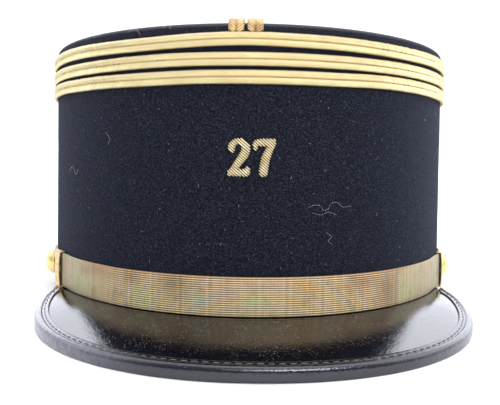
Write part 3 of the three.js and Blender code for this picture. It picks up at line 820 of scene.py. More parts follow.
# %% Lines for threads
def thread_lines(name, lines):
    """A host of polylines. Each line is (places, closed), and a place is (point, outward, reach, turn)."""
    points, edges, outward, reach, turns = [], [], [], [], []
    for places, closed in lines:
        first = len(points)
        for point, direction, length, turn in places:
            points.append(point)
            outward.extend(direction)
            reach.append(length)
            turns.append(turn)
        edges += [(i, i + 1) for i in range(first, len(points) - 1)]
        if closed:
            edges.append((len(points) - 1, first))
    host = new_piece(name, points, edges=edges)
    set_attribute(host, "outward", "FLOAT_VECTOR", outward)
    set_attribute(host, "reach", "FLOAT", reach)
    set_attribute(host, "turn", "FLOAT", turns)
    return host


# %% [markdown]
# ## Braid rings
# Soutache is a flat braid of two fat ridges with a groove between them. Its threads cross each ridge
# on a slant, one way on the upper ridge and the other way on the lower, like the bones of a fish.
# The core is the oval sweep with a two-ridged section, and a line of laid threads runs along each
# ridge. Threads as real geometry catch the light as the braid does; a bump map looks flat up close.

# %% Braid sizes and core
BRAID_THICKNESS = 1.3 * MM
BRAID_RIDGE = [(0, 0), (0.03, 0.4), (0.12, 0.7), (0.25, 0.82), (0.38, 0.68)]
BRAID_GROOVE = (0.5, 0.4)
BRAID_CORE = BRAID_RIDGE + [BRAID_GROOVE] + [(1 - across, out) for across, out in reversed(BRAID_RIDGE)]
RIDGES = [(0.25, 1), (0.75, -1)]
LOWER_WAVE = [(-60, 0), (-45, -0.3), (-27, -0.47), (-10, -0.17), (14, -0.15), (33, 0.38), (70, 0)]
MIDDLE_WAVE = [(-60, 0), (-38, -0.32), (-12, -0.07), (12, -0.06), (32, 0.06), (60, 0)]
UPPER_WAVE = [(-60, 0), (-28, -0.77), (-3, 0), (12, -0.25), (36, -0.44), (60, 0)]
BRAID_RINGS = [
    {"node": "braid_lower", "z": 73.15 * MM, "height": 4.5 * MM, "rise": 0.8 * MM, "wave": LOWER_WAVE},
    {"node": "braid_middle", "z": 78.7 * MM, "height": 4.35 * MM, "rise": 0.8 * MM, "wave": MIDDLE_WAVE},
    {"node": "braid_upper", "z": 84.3 * MM, "height": 4.4 * MM, "rise": 1.4 * MM, "wave": UPPER_WAVE},
]
THREAD_PITCH = 0.8 * MM
THREAD_SLANT = math.radians(52)
THREAD_REACH = 0.66  # share of the braid's height that a thread crosses
RING_STEPS = 240


def wave_at(wave, angle):
    """How far a hand-sewn ring lies off its line, eased between the wave's places in degrees."""
    degrees = (math.degrees(angle) + 180) % 360 - 180
    for (before, low), (after, high) in zip(wave, wave[1:]):
        if before <= degrees < after:
            return lerp(low, high, smoothstep(degrees, before, after)) * MM
    return 0


def ridge_line(ring, across, turn):
    places = []
    for step in range(RING_STEPS):
        angle = 2 * math.pi * step / RING_STEPS
        line = ring["z"] + ring["rise"] * math.cos(angle) + wave_at(ring["wave"], angle)
        point = oval_point(angle, line + across * ring["height"], SEAM_GAP + 0.5 * BRAID_THICKNESS)
        places.append((point, oval_normal(angle), THREAD_REACH * ring["height"], turn))
    return places, True


def braid_settings(core, seed, finish):
    return {
        "Pitch": THREAD_PITCH,
        "Thread Width": 0.62 * MM,
        "Thread Height": BRAID_THICKNESS,
        "Slant": THREAD_SLANT,
        "Seed": seed,
        "Core": core,
        "Finish": finish,
    }


print("braid rings:", len(BRAID_RINGS), "with a thread every", round(1000 * THREAD_PITCH, 2), "mm")


# %% Braid rings
def ring_section(ring):
    foot, height = ring["z"], ring["height"]
    return [(SEAM_GAP + out * BRAID_THICKNESS, foot + across * height) for across, out in BRAID_CORE]


for seed, ring in enumerate(BRAID_RINGS):
    core_settings = {"Front Rise": ring["rise"], "Finish": braid_gold}
    core = grow(section_host("braid_core", ring_section(ring)), sweep, core_settings)
    face_outwards(core.data)
    for vertex in core.data.vertices:
        angle = math.atan2(vertex.co.x / HALF_WIDTH, -vertex.co.y / HALF_LENGTH)
        vertex.co.z += wave_at(ring["wave"], angle)
    lines = [ridge_line(ring, across, turn) for across, turn in RIDGES]
    host = thread_lines(ring["node"].replace("braid", "soutache"), lines)
    soutache = grow(host, laid, braid_settings(core, seed, braid_gold))
    bpy.data.objects.remove(core)
    hand_over(soutache, "gold_braid", ring["node"])

# %% [markdown]
# ## Stitches in the grooves
# The rings are sewn down by hand through the groove between the ridges, and here and there a brown
# stitch shows. Short lines at uneven places, with a fixed seed, go through the same thread tree.

# %% Stitches in the braid's grooves
TACKS_PER_RING = 30
tack_dice = random.Random(12)
tack_lines = []
for ring in BRAID_RINGS:
    groove = ridge_line(ring, 0.5, 1)[0]
    for tack in range(TACKS_PER_RING):
        place = int(RING_STEPS * (tack + 0.8 * tack_dice.random()) / TACKS_PER_RING)
        length = lerp(0.2, 1.0, tack_dice.random() ** 2) * MM
        pair = [groove[place], groove[(place + 1) % RING_STEPS]]
        tack_lines.append(([(point, outward, length, turn) for point, outward, _, turn in pair], False))
tack_settings = {
    "Pitch": 10 * MM,
    "Thread Width": 0.45 * MM,
    "Thread Height": 0.9 * MM,
    "Slant": 0.7,
    "Seed": 12,
    "Finish": thread_brown,
}
braid_tacks = grow(thread_lines("braid_tacks", tack_lines), laid, tack_settings)
hand_over(braid_tacks, "gold_braid")

# %% [markdown]
# ## Upright braids
# Two short lengths of the same braid start at the upper ring, bend over the rolled edge and end on
# the top. A path of places along the middle of the braid, each with its own outward direction,
# serves both the core and the threads.

# %% Front braids
FRONT_BRAID_WIDTH = 5.2 * MM
FRONT_BRAID_TAIL = 4.5 * MM
FRONT_BRAID_FOOT = 1.6 * MM
FRONT_THREAD_REACH = 0.62
FRONT_BRAIDS = [
    {"node": "front_braid_left", "x": -7 * MM},
    {"node": "front_braid_right", "x": -1 * MM},
]
BEND_STEPS = 14
BEND_TURN = math.radians(150)


def front_braid_path():
    """Places (out, z, face_out, face_up) from the upper ring over the crest to the top panel."""
    upper = BRAID_RINGS[-1]
    start = upper["z"] + upper["rise"] + upper["height"] + SEAM_GAP
    bend_z = CROWN_HEIGHT + FRONT_RISE - CREST_RADIUS
    panel_z = CROWN_HEIGHT + FRONT_RISE - TOP_RECESS + SEAM_GAP
    reach = CREST_RADIUS + SEAM_GAP
    path = [(SEAM_GAP, start, 1, 0)]
    for step in range(BEND_STEPS + 1):
        turn = BEND_TURN * step / BEND_STEPS
        face_out, face_up = math.cos(turn), math.sin(turn)
        path.append((reach * face_out - CREST_RADIUS, bend_z + reach * face_up, face_out, face_up))
    foot = -WALL - FRONT_BRAID_FOOT
    path.append((foot, panel_z, -0.2, 1))
    path.append((foot - FRONT_BRAID_TAIL, panel_z, 0, 1))
    return path


def front_braid_place(braid, across, lift, row):
    out, z, face_out, face_up = row
    angle = (braid["x"] + (across - 0.5) * FRONT_BRAID_WIDTH) / HALF_WIDTH
    point = oval_point(angle, z + lift * face_up, out + lift * face_out)
    direction = oval_normal(angle) * face_out + Vector((0, 0, face_up))
    return point, direction.normalized()


for seed, braid in enumerate(FRONT_BRAIDS, start=20):
    path = front_braid_path()
    rows = []
    for row in path:
        places = [front_braid_place(braid, across, out * BRAID_THICKNESS, row) for across, out in BRAID_CORE]
        rows.append([point for point, direction in places])
    core = loft("front_core", rows)
    lines = []
    for across, turn in RIDGES:
        places = [front_braid_place(braid, across, 0.5 * BRAID_THICKNESS, row) for row in path]
        reach = FRONT_THREAD_REACH * FRONT_BRAID_WIDTH
        lines.append(([(point, direction, reach, turn) for point, direction in places], False))
    host = thread_lines(braid["node"].replace("braid", "soutache"), lines)
    # The front braids take the darker copy of the braid, which is painted shade.
    soutache = grow(host, laid, braid_settings(core, seed, braid_shaded))
    bpy.data.objects.remove(core)
    hand_over(soutache, "gold_braid", braid["node"])

# %% [markdown]
# ## The number
# The digits are bullion work: short lengths of coiled gilt wire laid side by side over a pad, all on
# the same slant. Lines on that slant are run across the digit, and wherever a line is inside a stroke
# it becomes one wire. A geometry tree turns each line into a tube. A flat digit with a striped bump
# would be simpler, but the wires' round ends make the outline of real bullion.

# %% Digits as strokes
NUMERAL_BOTTOM = 44.8 * MM
NUMERAL_SCALE = 0.97 * MM
DIGIT_TWO = [
    [
        (1.3, 8.7, 1.05), (1.6, 10.4, 0.95), (3.4, 11.4, 0.95), (5.4, 10.7, 1.2),
        (6.0, 9.0, 1.4), (5.4, 7.0, 1.35), (3.7, 4.6, 1.15), (1.7, 1.7, 1.0),
    ],
    [(1.2, 1.2, 1.1), (3.8, 1.3, 1.2), (6.2, 1.2, 1.1), (6.7, 2.7, 0.65)],
]
DIGIT_SEVEN = [
    [(0.8, 9.2, 0.65), (1.1, 10.8, 1.0), (3.8, 11.1, 1.2), (6.4, 11.2, 1.1)],
    [(6.4, 11.1, 1.1), (5.2, 8.5, 1.2), (4.0, 5.2, 1.35), (3.5, 1.4, 1.4)],
]
NUMERALS = [
    {"node": "numeral_first", "x": -9.4 * MM, "strokes": DIGIT_TWO},
    {"node": "numeral_second", "x": -1.3 * MM, "strokes": DIGIT_SEVEN},
]


def spline(rows, t):
    """A Catmull-Rom curve through a table's rows, at t from 0 to 1."""
    place = t * (len(rows) - 1)
    i = min(int(place), len(rows) - 2)
    f = place - i
    a, b, c, d = [Vector(rows[max(0, min(len(rows) - 1, i + k))]) for k in (-1, 0, 1, 2)]
    square, cube = 2 * a - 5 * b + 4 * c - d, 3 * b - a - 3 * c + d
    return 0.5 * (2 * b + (c - a) * f + square * f * f + cube * f ** 3)


print("digits:", len(NUMERALS), "drawn as (x, y, half width) places along strokes")


# %% Wires across a digit
WIRE_SLANT = math.radians(-40)
WIRE_PITCH = 0.72
WIRE_RADIUS = 0.25 * MM
WIRE_STEP = 0.1
WIRE_POINTS = 7
WIRE_LIFT = 1.0 * MM
WIRE_SEAT = 0.25 * MM


def digit_wires(strokes):
    """Runs of (start, end) in the digit's own box, one for each wire."""
    dots = [spline(rows, i / 120) for rows in strokes for i in range(121)]
    heading = Vector((math.cos(WIRE_SLANT), math.sin(WIRE_SLANT)))
    beside = Vector((-heading.y, heading.x))
    wires = []
    for line in range(-18, 36):
        run = []
        for step in range(-120, 160):
            place = beside * (line * WIRE_PITCH) + heading * (step * WIRE_STEP)
            if any((dot.x - place.x) ** 2 + (dot.y - place.y) ** 2 < dot.z ** 2 for dot in dots):
                run.append(place)
            elif run:
                wires.append((run[0], run[-1]))
                run = []
    return [wire for wire in wires if (wire[1] - wire[0]).length > 0.5]


def wire_lines(name, numeral, seed):
    rng = random.Random(seed)
    points, edges, tones = [], [], []
    for start, end in digit_wires(numeral["strokes"]):
        tone = rng.random()
        full = min(1, (end - start).length / 2)
        for i in range(WIRE_POINTS):
            share = i / (WIRE_POINTS - 1)
            place = start.lerp(end, share)
            angle = (numeral["x"] + NUMERAL_SCALE * place.x) / HALF_WIDTH
            lift = WIRE_LIFT * full * (1 - abs(2 * share - 1) ** 2.5)
            if i:
                edges.append((len(points) - 1, len(points)))
            points.append(oval_point(angle, NUMERAL_BOTTOM + NUMERAL_SCALE * place.y, WIRE_SEAT + lift))
            tones.append(tone)
    host = new_piece(name, points, edges=edges)
    set_attribute(host, "thread", "FLOAT", tones)
    return host


# %% Geometry tree: bullion wires
wires, wires_in, wires_out = open_group(
    "bullion_wires",
    "GeometryNodeTree",
    [
        ("Lines", "Geometry", None),
        ("Wire Radius", "Float", WIRE_RADIUS),
        ("Facets", "Int", 8),
        ("Finish", "Material", None),
    ],
    [("Geometry", "Geometry")],
)
wires_lines = node_out(wires, "GeometryNodeMeshToCurve", {"Mesh": wires_in["Lines"]})
wires_round = node_out(
    wires,
    "GeometryNodeCurvePrimitiveCircle",
    {"Resolution": wires_in["Facets"], "Radius": wires_in["Wire Radius"]},
)
wires_tubes = node_out(
    wires,
    "GeometryNodeCurveToMesh",
    {"Curve": wires_lines, "Profile Curve": wires_round, "Fill Caps": True},
)
close_tree(wires, wires_tubes, wires_in, wires_out)

# %% Digits
for seed, numeral in enumerate(NUMERALS, start=30):
    host = wire_lines(numeral["node"].replace("numeral", "bullion"), numeral, seed)
    hand_over(grow(host, wires, {"Finish": bullion}), "bullion", numeral["node"])

# %% [markdown]
# ## The chin strap
# The strap is a flat gold lace with fine ribs along its length. It lies on the wall, climbs a hair
# beyond the visor, and steps off the wall where the keepers pass behind it. A section with the ribs
# in it is lofted from button to button; the cross threads are left to the material's bump.

# %% Strap sizes
STRAP = {
    "bottom": 0.05 * MM,
    "height": 12.7 * MM,
    "thickness": 0.8 * MM,
    "end_rise": 0.25 * MM,
    "rise_from": 52,
    "rise_to": 58,
    "end_angle": 76.5,
    "round_angle": 3,
}
STRAP_HEM = 0.22 * MM
RIB_COUNT = 18
RIB_STEPS = 5
RIB_DEPTH = 0.16 * MM
KEEPER = {
    "span": 4.8,
    "gap": 0.2 * MM,
    "back": 0.4 * MM,
    "front": 0.6 * MM,
    "edge": 0.25 * MM,
    "edge_gap": 0.1 * MM,
    "bulge": 0.25 * MM,
    "ramp": 2.2,
    "margin": 0.4,
}
KEEPERS = [
    {"node": "keeper_left", "side": -1, "start": 58},
    {"node": "keeper_right", "side": 1, "start": 62.8},
]


def strap_rise(degrees):
    return STRAP["end_rise"] * smoothstep(abs(degrees), STRAP["rise_from"], STRAP["rise_to"])


def strap_lift(degrees):
    keeper = KEEPERS[0] if degrees < 0 else KEEPERS[1]
    start = keeper["start"] - KEEPER["margin"]
    end = keeper["start"] + KEEPER["span"] + KEEPER["margin"]
    up = smoothstep(abs(degrees), start - KEEPER["ramp"], start)
    down = smoothstep(abs(degrees), end, end + KEEPER["ramp"])
    return lerp(SEAM_GAP, 2 * KEEPER["gap"] + KEEPER["back"], up - down)


def rib_height(share, count):
    """A row of round ribs: one at the crest of each, nought in the grooves."""
    return abs(math.sin(math.pi * share * count))


print("strap:", RIB_COUNT, "ribs on", round(1000 * STRAP["height"], 1), "mm")

# %% [markdown]
# ## Stains on the strap
# Sweat and air have stained the lace green, rose and brown. Each stain is a soft oval in a table, at
# an angle round the crown and a share of the strap's height, and the strap's points carry the mix.

# %% Stains on the strap
LACE_MIDDLE = Vector((0.68, 0.52, 0.30, 1))
LACE_END = Vector((0.52, 0.47, 0.29, 1))
GREEN = Vector((0.58, 0.62, 0.32, 1))
TEAL = Vector((0.46, 0.58, 0.42, 1))
ROSE = Vector((0.66, 0.47, 0.33, 1))
BROWN = Vector((0.36, 0.23, 0.13, 1))
OCHRE = Vector((0.66, 0.42, 0.17, 1))
COPPER = Vector((0.46, 0.27, 0.14, 1))
STAINS = [
    {"at": (-54, 0.6), "reach": (3, 0.4), "tint": ROSE},
    {"at": (-47, 0.4), "reach": (4, 0.3), "tint": GREEN},
    {"at": (-40, 0.85), "reach": (6, 0.2), "tint": COPPER},
    {"at": (-29, 0.85), "reach": (3, 0.25), "tint": BROWN},
    {"at": (-26, 0.3), "reach": (4, 0.25), "tint": GREEN},
    {"at": (-18, 0.8), "reach": (4, 0.3), "tint": BROWN},
    {"at": (-12, 0.37), "reach": (2.5, 0.2), "tint": TEAL},
    {"at": (-7, 0.65), "reach": (4, 0.35), "tint": ROSE},
    {"at": (0, 0.35), "reach": (3, 0.2), "tint": GREEN},
    {"at": (5, 0.85), "reach": (4, 0.2), "tint": ROSE},
    {"at": (11, 0.7), "reach": (3, 0.3), "tint": OCHRE},
    {"at": (25, 0.8), "reach": (5, 0.25), "tint": COPPER},
    {"at": (33, 0.5), "reach": (3, 0.6), "tint": BROWN},
    {"at": (36, 0.5), "reach": (0.4, 2), "tint": BROWN},
    {"at": (40, 0.3), "reach": (3, 0.3), "tint": GREEN},
    {"at": (51, 0.6), "reach": (3, 0.4), "tint": ROSE},
]


def strap_tint(degrees, share):
    tint = LACE_MIDDLE.lerp(LACE_END, smoothstep(abs(degrees), 30, 60))
    for stain in STAINS:
        along = (degrees - stain["at"][0]) / stain["reach"][0]
        across = (share - stain["at"][1]) / stain["reach"][1]
        tint = tint.lerp(stain["tint"], 0.75 * math.exp(-along * along - across * across))
    selvedge = smoothstep(share, 0.93, 0.97) * (1 - smoothstep(abs(degrees), 36, 48))
    return tint.lerp(COPPER, 0.8 * selvedge)


def rib_shade(degrees, share):
    """Painted shade fills the grooves in the middle of the strap; near its ends the ribs flatten and the
    grooves stay bright.
    """
    return lerp(rib_height(share, RIB_COUNT), 0.62, 0.95 * smoothstep(abs(degrees), 27, 42))


# %% Strap
STRAP_STATIONS = 260


def strap_row(degrees):
    angle = math.radians(degrees)
    into_end = max(0, abs(degrees) - STRAP["end_angle"] + STRAP["round_angle"]) / STRAP["round_angle"]
    half = STRAP["height"] / 2 * max(0.45, math.sqrt(max(0, 1 - into_end * into_end)))
    middle = STRAP["bottom"] + STRAP["height"] / 2 + strap_rise(degrees)
    inner = strap_lift(degrees)
    outer = inner + STRAP["thickness"]
    row = [oval_point(angle, middle - half - STRAP_HEM, inner)]
    steps = RIB_COUNT * RIB_STEPS
    for step in range(steps + 1):
        share = step / steps
        edge = min(1, 12 * min(share, 1 - share))
        out = lerp(inner + 0.45 * STRAP["thickness"], outer - RIB_DEPTH, math.sqrt(edge))
        z = middle + half * (2 * share - 1) - STRAP_HEM * (1 - share)
        row.append(oval_point(angle, z, out + RIB_DEPTH * rib_shade(degrees, share)))
    row.append(oval_point(angle, middle + half, inner))
    return row


strap_end = STRAP["end_angle"]
strap_stations = [lerp(-strap_end, strap_end, i / STRAP_STATIONS) for i in range(STRAP_STATIONS + 1)]
lace_strap = loft("lace_strap", [strap_row(degrees) for degrees in strap_stations])
strap_shares = [0] + [step / (RIB_COUNT * RIB_STEPS) for step in range(RIB_COUNT * RIB_STEPS + 1)] + [1]
strap_ribs, strap_tints = [], []
for degrees in strap_stations:
    for share in strap_shares:
        strap_ribs.append(rib_shade(degrees, share))
        strap_tints.extend(strap_tint(degrees, share))
set_attribute(lace_strap, "rib", "FLOAT", strap_ribs)
set_attribute(lace_strap, "tint", "FLOAT_COLOR", strap_tints)
hand_over(lace_strap, "gold_lace", "chin_strap", material=lace)

# %% [markdown]
# ## Keepers
# Near each end a loop of the same lace holds the strap to the wall. Its ribs run along the loop, so
# they stand upright. The loop is a closed row of sections; each is a rib row outside and a plain row
# inside.

# %% Keepers
KEEPER_RIBS = 8
KEEPER_RIB_STEPS = 5
KEEPER_RIB_DEPTH = 0.14 * MM
KEEPER_RISE = 10
KEEPER_GOLD = (0.72, 0.52, 0.24, 1)
KEEPER_DARK = (0.05, 0.03, 0.015, 1)
KEEPER_SHADOW = 5
KEEPER_FOOT = 0.4 * MM


def keeper_loop():
    """Places (inner out, inner z, outer out, outer z) round the strap."""
    low = STRAP["bottom"] + STRAP["end_rise"] - KEEPER["edge_gap"]
    high = low + STRAP["height"] + 2 * KEEPER["edge_gap"]
    back_face = KEEPER["gap"]
    back = back_face + KEEPER["back"]
    front = back + 2 * KEEPER["gap"] + STRAP["thickness"]
    face = front + KEEPER["front"]
    edge = KEEPER["edge"]
    foot = low - KEEPER_FOOT
    loop = [
        (back, low, back_face, low - edge),
        (front, low, face - 0.7 * edge, foot - edge),
        (front, low, face, foot - 0.7 * edge),
    ]
    for step in range(KEEPER_RISE + 1):
        share = step / KEEPER_RISE
        bulge = KEEPER["bulge"] * math.sin(share * math.pi)
        loop.append((front + bulge, lerp(low, high, share), face + bulge, lerp(low, high, share)))
    loop += [
        (front, high, face - 0.2 * edge, high + 0.7 * edge),
        (front, high, face - 0.7 * edge, high + edge),
        (back, high, back_face, high + edge),
    ]
    return loop


def keeper_section(keeper, place):
    in_out, in_z, out, z = place
    steps = KEEPER_RIBS * KEEPER_RIB_STEPS
    turns = [keeper["start"] + KEEPER["span"] * step / steps for step in range(steps + 1)]
    angles = [keeper["side"] * math.radians(turn) for turn in turns]
    inside = [oval_point(angle, in_z, in_out) for angle in angles]
    outside = []
    for step, angle in enumerate(angles):
        rib = KEEPER_RIB_DEPTH * (rib_height(step / steps, KEEPER_RIBS) - 1)
        outside.append(oval_point(angle, z, out + rib * (out > KEEPER["gap"])))
    return inside + outside[::-1]


def keeper_tints(place):
    """Colours of one section's points: gold, with a lens of shadow along the loop's front edge."""
    steps = KEEPER_RIBS * KEEPER_RIB_STEPS
    share = (place[3] - STRAP["bottom"]) / STRAP["height"]
    shadow = KEEPER_SHADOW * math.sin(math.pi * min(1, max(0, share)))
    row = [KEEPER_DARK if step < shadow else KEEPER_GOLD for step in range(steps + 1)]
    return [channel for tint in row + row[::-1] for channel in tint]


for keeper in KEEPERS:
    sections = [keeper_section(keeper, place) for place in keeper_loop()]
    loop = loft(keeper["node"].replace("keeper", "lace_keeper"), sections, ring=True)
    set_attribute(loop, "rib", "FLOAT", [1] * len(loop.data.vertices))
    loop_tints = [channel for place in keeper_loop() for channel in keeper_tints(place)]
    set_attribute(loop, "tint", "FLOAT_COLOR", loop_tints)
    hand_over(loop, "gold_lace", keeper["node"], material=lace)

# %% [markdown]
# ## Buttons
# Small domed buttons hold the strap's ends. A button is turned, so its profile is spun about its
# own axis, and then set against the wall with the axis along the wall's normal. A real one has a
# rolled rim, which the profile adds to the plain dome of the solid.

# %% Buttons
BUTTON = {
    "angle": 71.2,
    "radius": 5.2 * MM,
    "height": 3.3 * MM,
    "shank_radius": 1.4 * MM,
    "shank_depth": 1.8 * MM,
    "rim": 0.7 * MM,
    "roll": 0.35 * MM,
    "inset": 0.1 * MM,
}
BUTTON_SEGMENTS = 64
DOME_STEPS = 14
BUTTONS = [("button_left", -1), ("button_right", 1)]


def button_profile():
    seat = 2 * SEAM_GAP + STRAP["thickness"]
    radius, roll, inset = BUTTON["radius"], BUTTON["roll"], BUTTON["inset"]
    profile = [
        (0, -BUTTON["shank_depth"]),
        (BUTTON["shank_radius"], -BUTTON["shank_depth"]),
        (BUTTON["shank_radius"], seat),
        (radius - roll - inset, seat),
    ]
    for step in range(7):
        turn = math.pi * (step / 6 - 0.5)
        profile.append((radius - roll + roll * math.cos(turn), seat + roll * (1 + math.sin(turn))))
    dome_radius = radius - roll - 2 * inset
    dome_foot = seat + BUTTON["rim"] - inset
    dome_height = BUTTON["height"] - BUTTON["rim"] + inset
    for step in range(DOME_STEPS):
        turn = math.pi / 2 * step / DOME_STEPS
        profile.append((dome_radius * math.cos(turn), dome_foot + dome_height * math.sin(turn)))
    profile.append((0, seat + BUTTON["height"]))
    return profile


for node, side in BUTTONS:
    angle = side * math.radians(BUTTON["angle"])
    height = STRAP["bottom"] + STRAP["end_rise"] + STRAP["height"] / 2
    facing = oval_normal(angle).to_track_quat("Z", "Y").to_matrix().to_4x4()
    seat_matrix = Matrix.Translation(oval_point(angle, height, 0)) @ facing
    rows = []
    for segment in range(BUTTON_SEGMENTS):
        spin = 2 * math.pi * segment / BUTTON_SEGMENTS
        turned = [Vector((r * math.cos(spin), r * math.sin(spin), z)) for r, z in button_profile()]
        rows.append([seat_matrix @ point for point in turned])
    dome = loft(node.replace("button", "gilt_button"), rows, ring=True)
    work = bmesh.new()
    work.from_mesh(dome.data)
    bmesh.ops.remove_doubles(work, verts=work.verts, dist=1e-6)
    bmesh.ops.dissolve_degenerate(work, edges=work.edges, dist=1e-7)
    work.to_mesh(dome.data)
    work.free()
    face_outwards(dome.data)
    hand_over(dome, "gilt", node, material=gilt)

# %% [markdown]
# ## The visor
# The visor is a crescent of stiff leather that leaves the crown steeply and flattens towards its
# edge. In plan its outline is a rounded front with two elliptical rear corners. Distance from the
# crown decides the height, so a helper finds the nearest place on the oval to any point in plan. The
# moulded leather also swells a little above that slope, which shapes its reflections.

# %% Visor outline
VISOR = {
    "half_width": 79.2 * MM,
    "offset_x": 1.2 * MM,
    "centre_y": -65 * MM,
    "front_length": 69.2 * MM,
    "roundness": 2.05,
    "corner_width": 11 * MM,
    "corner_length": 16.5 * MM,
    "horn_reach": 3 * MM,
    "tail_reach": 1.2 * MM,
    "tail_angle": 9,
    "thickness": 2 * MM,
    "under_wall": 2.3 * MM,
    "flat_ledge": 0.6 * MM,
    "slope_at_crown": 17,
    "slope_at_edge": 13,
    "slope_span": 38 * MM,
    "setback": 1.3 * MM,
}
FRONT_BULGE = 0.25 * MM
CORNER_BULGE = 1 * MM
OUTLINE_STEPS = 400


def nearest_angle(x, y):
    a, b = HALF_WIDTH, HALF_LENGTH
    angle = math.atan2(x / a, -y / b)
    for _ in range(8):
        sin, cos = math.sin(angle), math.cos(angle)
        dx, dy = a * sin - x, -b * cos - y
        slope = dx * a * cos + dy * b * sin
        angle -= slope / ((a * cos) ** 2 + (b * sin) ** 2 - dx * a * sin + dy * b * cos)
    return angle


def crown_distance(x, y):
    foot = oval_point(nearest_angle(x, y), 0, 0)
    return math.hypot(foot.x - x, foot.y - y)


def visor_top(distance):
    run = max(0, distance - VISOR["flat_ledge"])
    near = math.tan(math.radians(VISOR["slope_at_crown"]))
    far = math.tan(math.radians(VISOR["slope_at_edge"]))
    return -SEAM_GAP - run * near + run * run * (near - far) / (2 * VISOR["slope_span"])


def visor_swell(angle, distance, reach):
    """How far the moulded leather swells above its plain slope, most at the corners."""
    corner = smoothstep(abs(math.degrees(angle)), 30, 52)
    bulge = lerp(FRONT_BULGE, min(CORNER_BULGE, 0.05 * reach), corner)
    share = (distance - VISOR["flat_ledge"]) / (reach - VISOR["flat_ledge"])
    eased = min(1, max(0, share)) ** 1.3
    return 4 * bulge * eased * (1 - eased)


def half_outline(side):
    points = []
    power = 2 / VISOR["roundness"]
    for step in range(OUTLINE_STEPS + 1):
        turn = math.pi / 2 * step / OUTLINE_STEPS
        x = VISOR["half_width"] * math.sin(turn) ** power
        y = VISOR["centre_y"] - VISOR["front_length"] * abs(math.cos(turn)) ** power
        points.append(Vector((VISOR["offset_x"] + side * x, y)))
    for step in range(1, OUTLINE_STEPS):
        turn = math.pi / 2 * step / OUTLINE_STEPS
        x = VISOR["half_width"] - VISOR["corner_width"] * (1 - math.cos(turn))
        x = VISOR["offset_x"] + side * x
        y = VISOR["centre_y"] + VISOR["corner_length"] * math.sin(turn)
        if crown_distance(x, y) < VISOR["horn_reach"]:
            break
        points.append(Vector((x, y)))
    return points


visor_outline = half_outline(-1)[:0:-1] + half_outline(1)
outline_lengths = [0.0]
for before, after in zip(visor_outline, visor_outline[1:]):
    outline_lengths.append(outline_lengths[-1] + (after - before).length)
print("visor outline:", round(1000 * outline_lengths[-1], 1), "mm long")


# %% Places along the outline
def outline_at(length):
    length = min(max(length, 0), outline_lengths[-1])
    low, high = 0, len(outline_lengths) - 1
    while high - low > 1:
        middle = (low + high) // 2
        low, high = (middle, high) if outline_lengths[middle] <= length else (low, middle)
    span = outline_lengths[high] - outline_lengths[low]
    return visor_outline[low].lerp(visor_outline[high], (length - outline_lengths[low]) / span)


def outline_point(share, lateral):
    """A point of the outline moved inwards by lateral, in plan."""
    total = outline_lengths[-1]
    here = outline_at(share * total)
    ahead = outline_at(share * total + 1 * MM) - outline_at(share * total - 1 * MM)
    inward = Vector((-ahead.y, ahead.x)).normalized()
    return here + lateral * inward


# %% Visor
VISOR_STATIONS = 220
VISOR_ROWS = 26


def visor_row(angle, reach):
    """One section from under the wall to the edge, along the top and back along the underside."""
    top = [oval_point(angle, 0, -VISOR["under_wall"]) + Vector((0, 0, visor_top(0)))]
    for row in range(VISOR_ROWS + 1):
        distance = lerp(VISOR["flat_ledge"], reach, row / VISOR_ROWS)
        height = visor_top(distance) + visor_swell(angle, distance, reach)
        top.append(oval_point(angle, 0, distance) + Vector((0, 0, height)))
    bottom = [point - Vector((0, 0, VISOR["thickness"])) for point in top]
    return top + bottom[::-1]


visor_places = []
for station in range(VISOR_STATIONS + 1):
    edge = outline_point(station / VISOR_STATIONS, VISOR["setback"])
    visor_places.append((nearest_angle(edge.x, edge.y), crown_distance(edge.x, edge.y)))
tail = math.radians(VISOR["tail_angle"])
visor_places.insert(0, (visor_places[0][0] - tail, VISOR["tail_reach"]))
visor_places.append((visor_places[-1][0] + tail, VISOR["tail_reach"]))
patent_visor = loft("patent_visor", [visor_row(angle, reach) for angle, reach in visor_places])
hand_over(patent_visor, "patent_leather", "visor", material=patent)

# %% [markdown]
# ## The visor's binding
# A strip of leather is folded round the visor's edge. Its upper side shows a rolled rim, a stitched
# groove and a bead. It is a section swept along the outline, and it follows the visor's own slope at
# every place; near the horns the section narrows so that it stays clear of the strap.

# %% Binding
FLANGE = 4.8 * MM
FLANGE_CLEAR = 1.6 * MM
BINDING_TOP = [
    (1, 0.05), (0.99, 0.4), (0.97, 0.58), (0.93, 0.66), (0.84, 0.67), (0.76, 0.67), (0.69, 0.65), (0.63, 0.6),
    (0.58, 0.55), (0.53, 0.66), (0.48, 0.92), (0.4, 1.17), (0.31, 1.28), (0.21, 1.22), (0.12, 1.0),
    (0.05, 0.65), (0.01, 0.25),
]
BINDING_UNDER = [
    (0, -0.3), (0, -1.7), (0.05, -2.3), (0.2, -2.8), (0.5, -3.15),
    (0.9, -3.3), (4.8, -3.3), (4.8, -2.05), (1, -2.05), (1, 0.05),
]
BINDING_STATIONS = 300
# How strong the painted grey is at each side: rubbed wear and a painted reflection.
RUB_AND_REFLECTION_LEFT = 1.3
RUB_AND_REFLECTION_RIGHT = 0.6
CHIP_X = 36 * MM
CHIP_REACH = 3 * MM
CHIP_ROWS = range(9, 13)


def flange_at(share):
    edge = outline_point(share, 0)
    return min(FLANGE, crown_distance(edge.x, edge.y) - FLANGE_CLEAR)


def binding_point(share, lateral, up):
    plan = outline_point(share, lateral)
    edge = outline_point(share, VISOR["setback"])
    distance = crown_distance(plan.x, plan.y)
    swell = visor_swell(nearest_angle(plan.x, plan.y), distance, crown_distance(edge.x, edge.y))
    z = visor_top(distance) + swell + up
    return Vector((plan.x, plan.y, max(z, plan.y * math.tan(REST_TILT) - REST_DROP)))


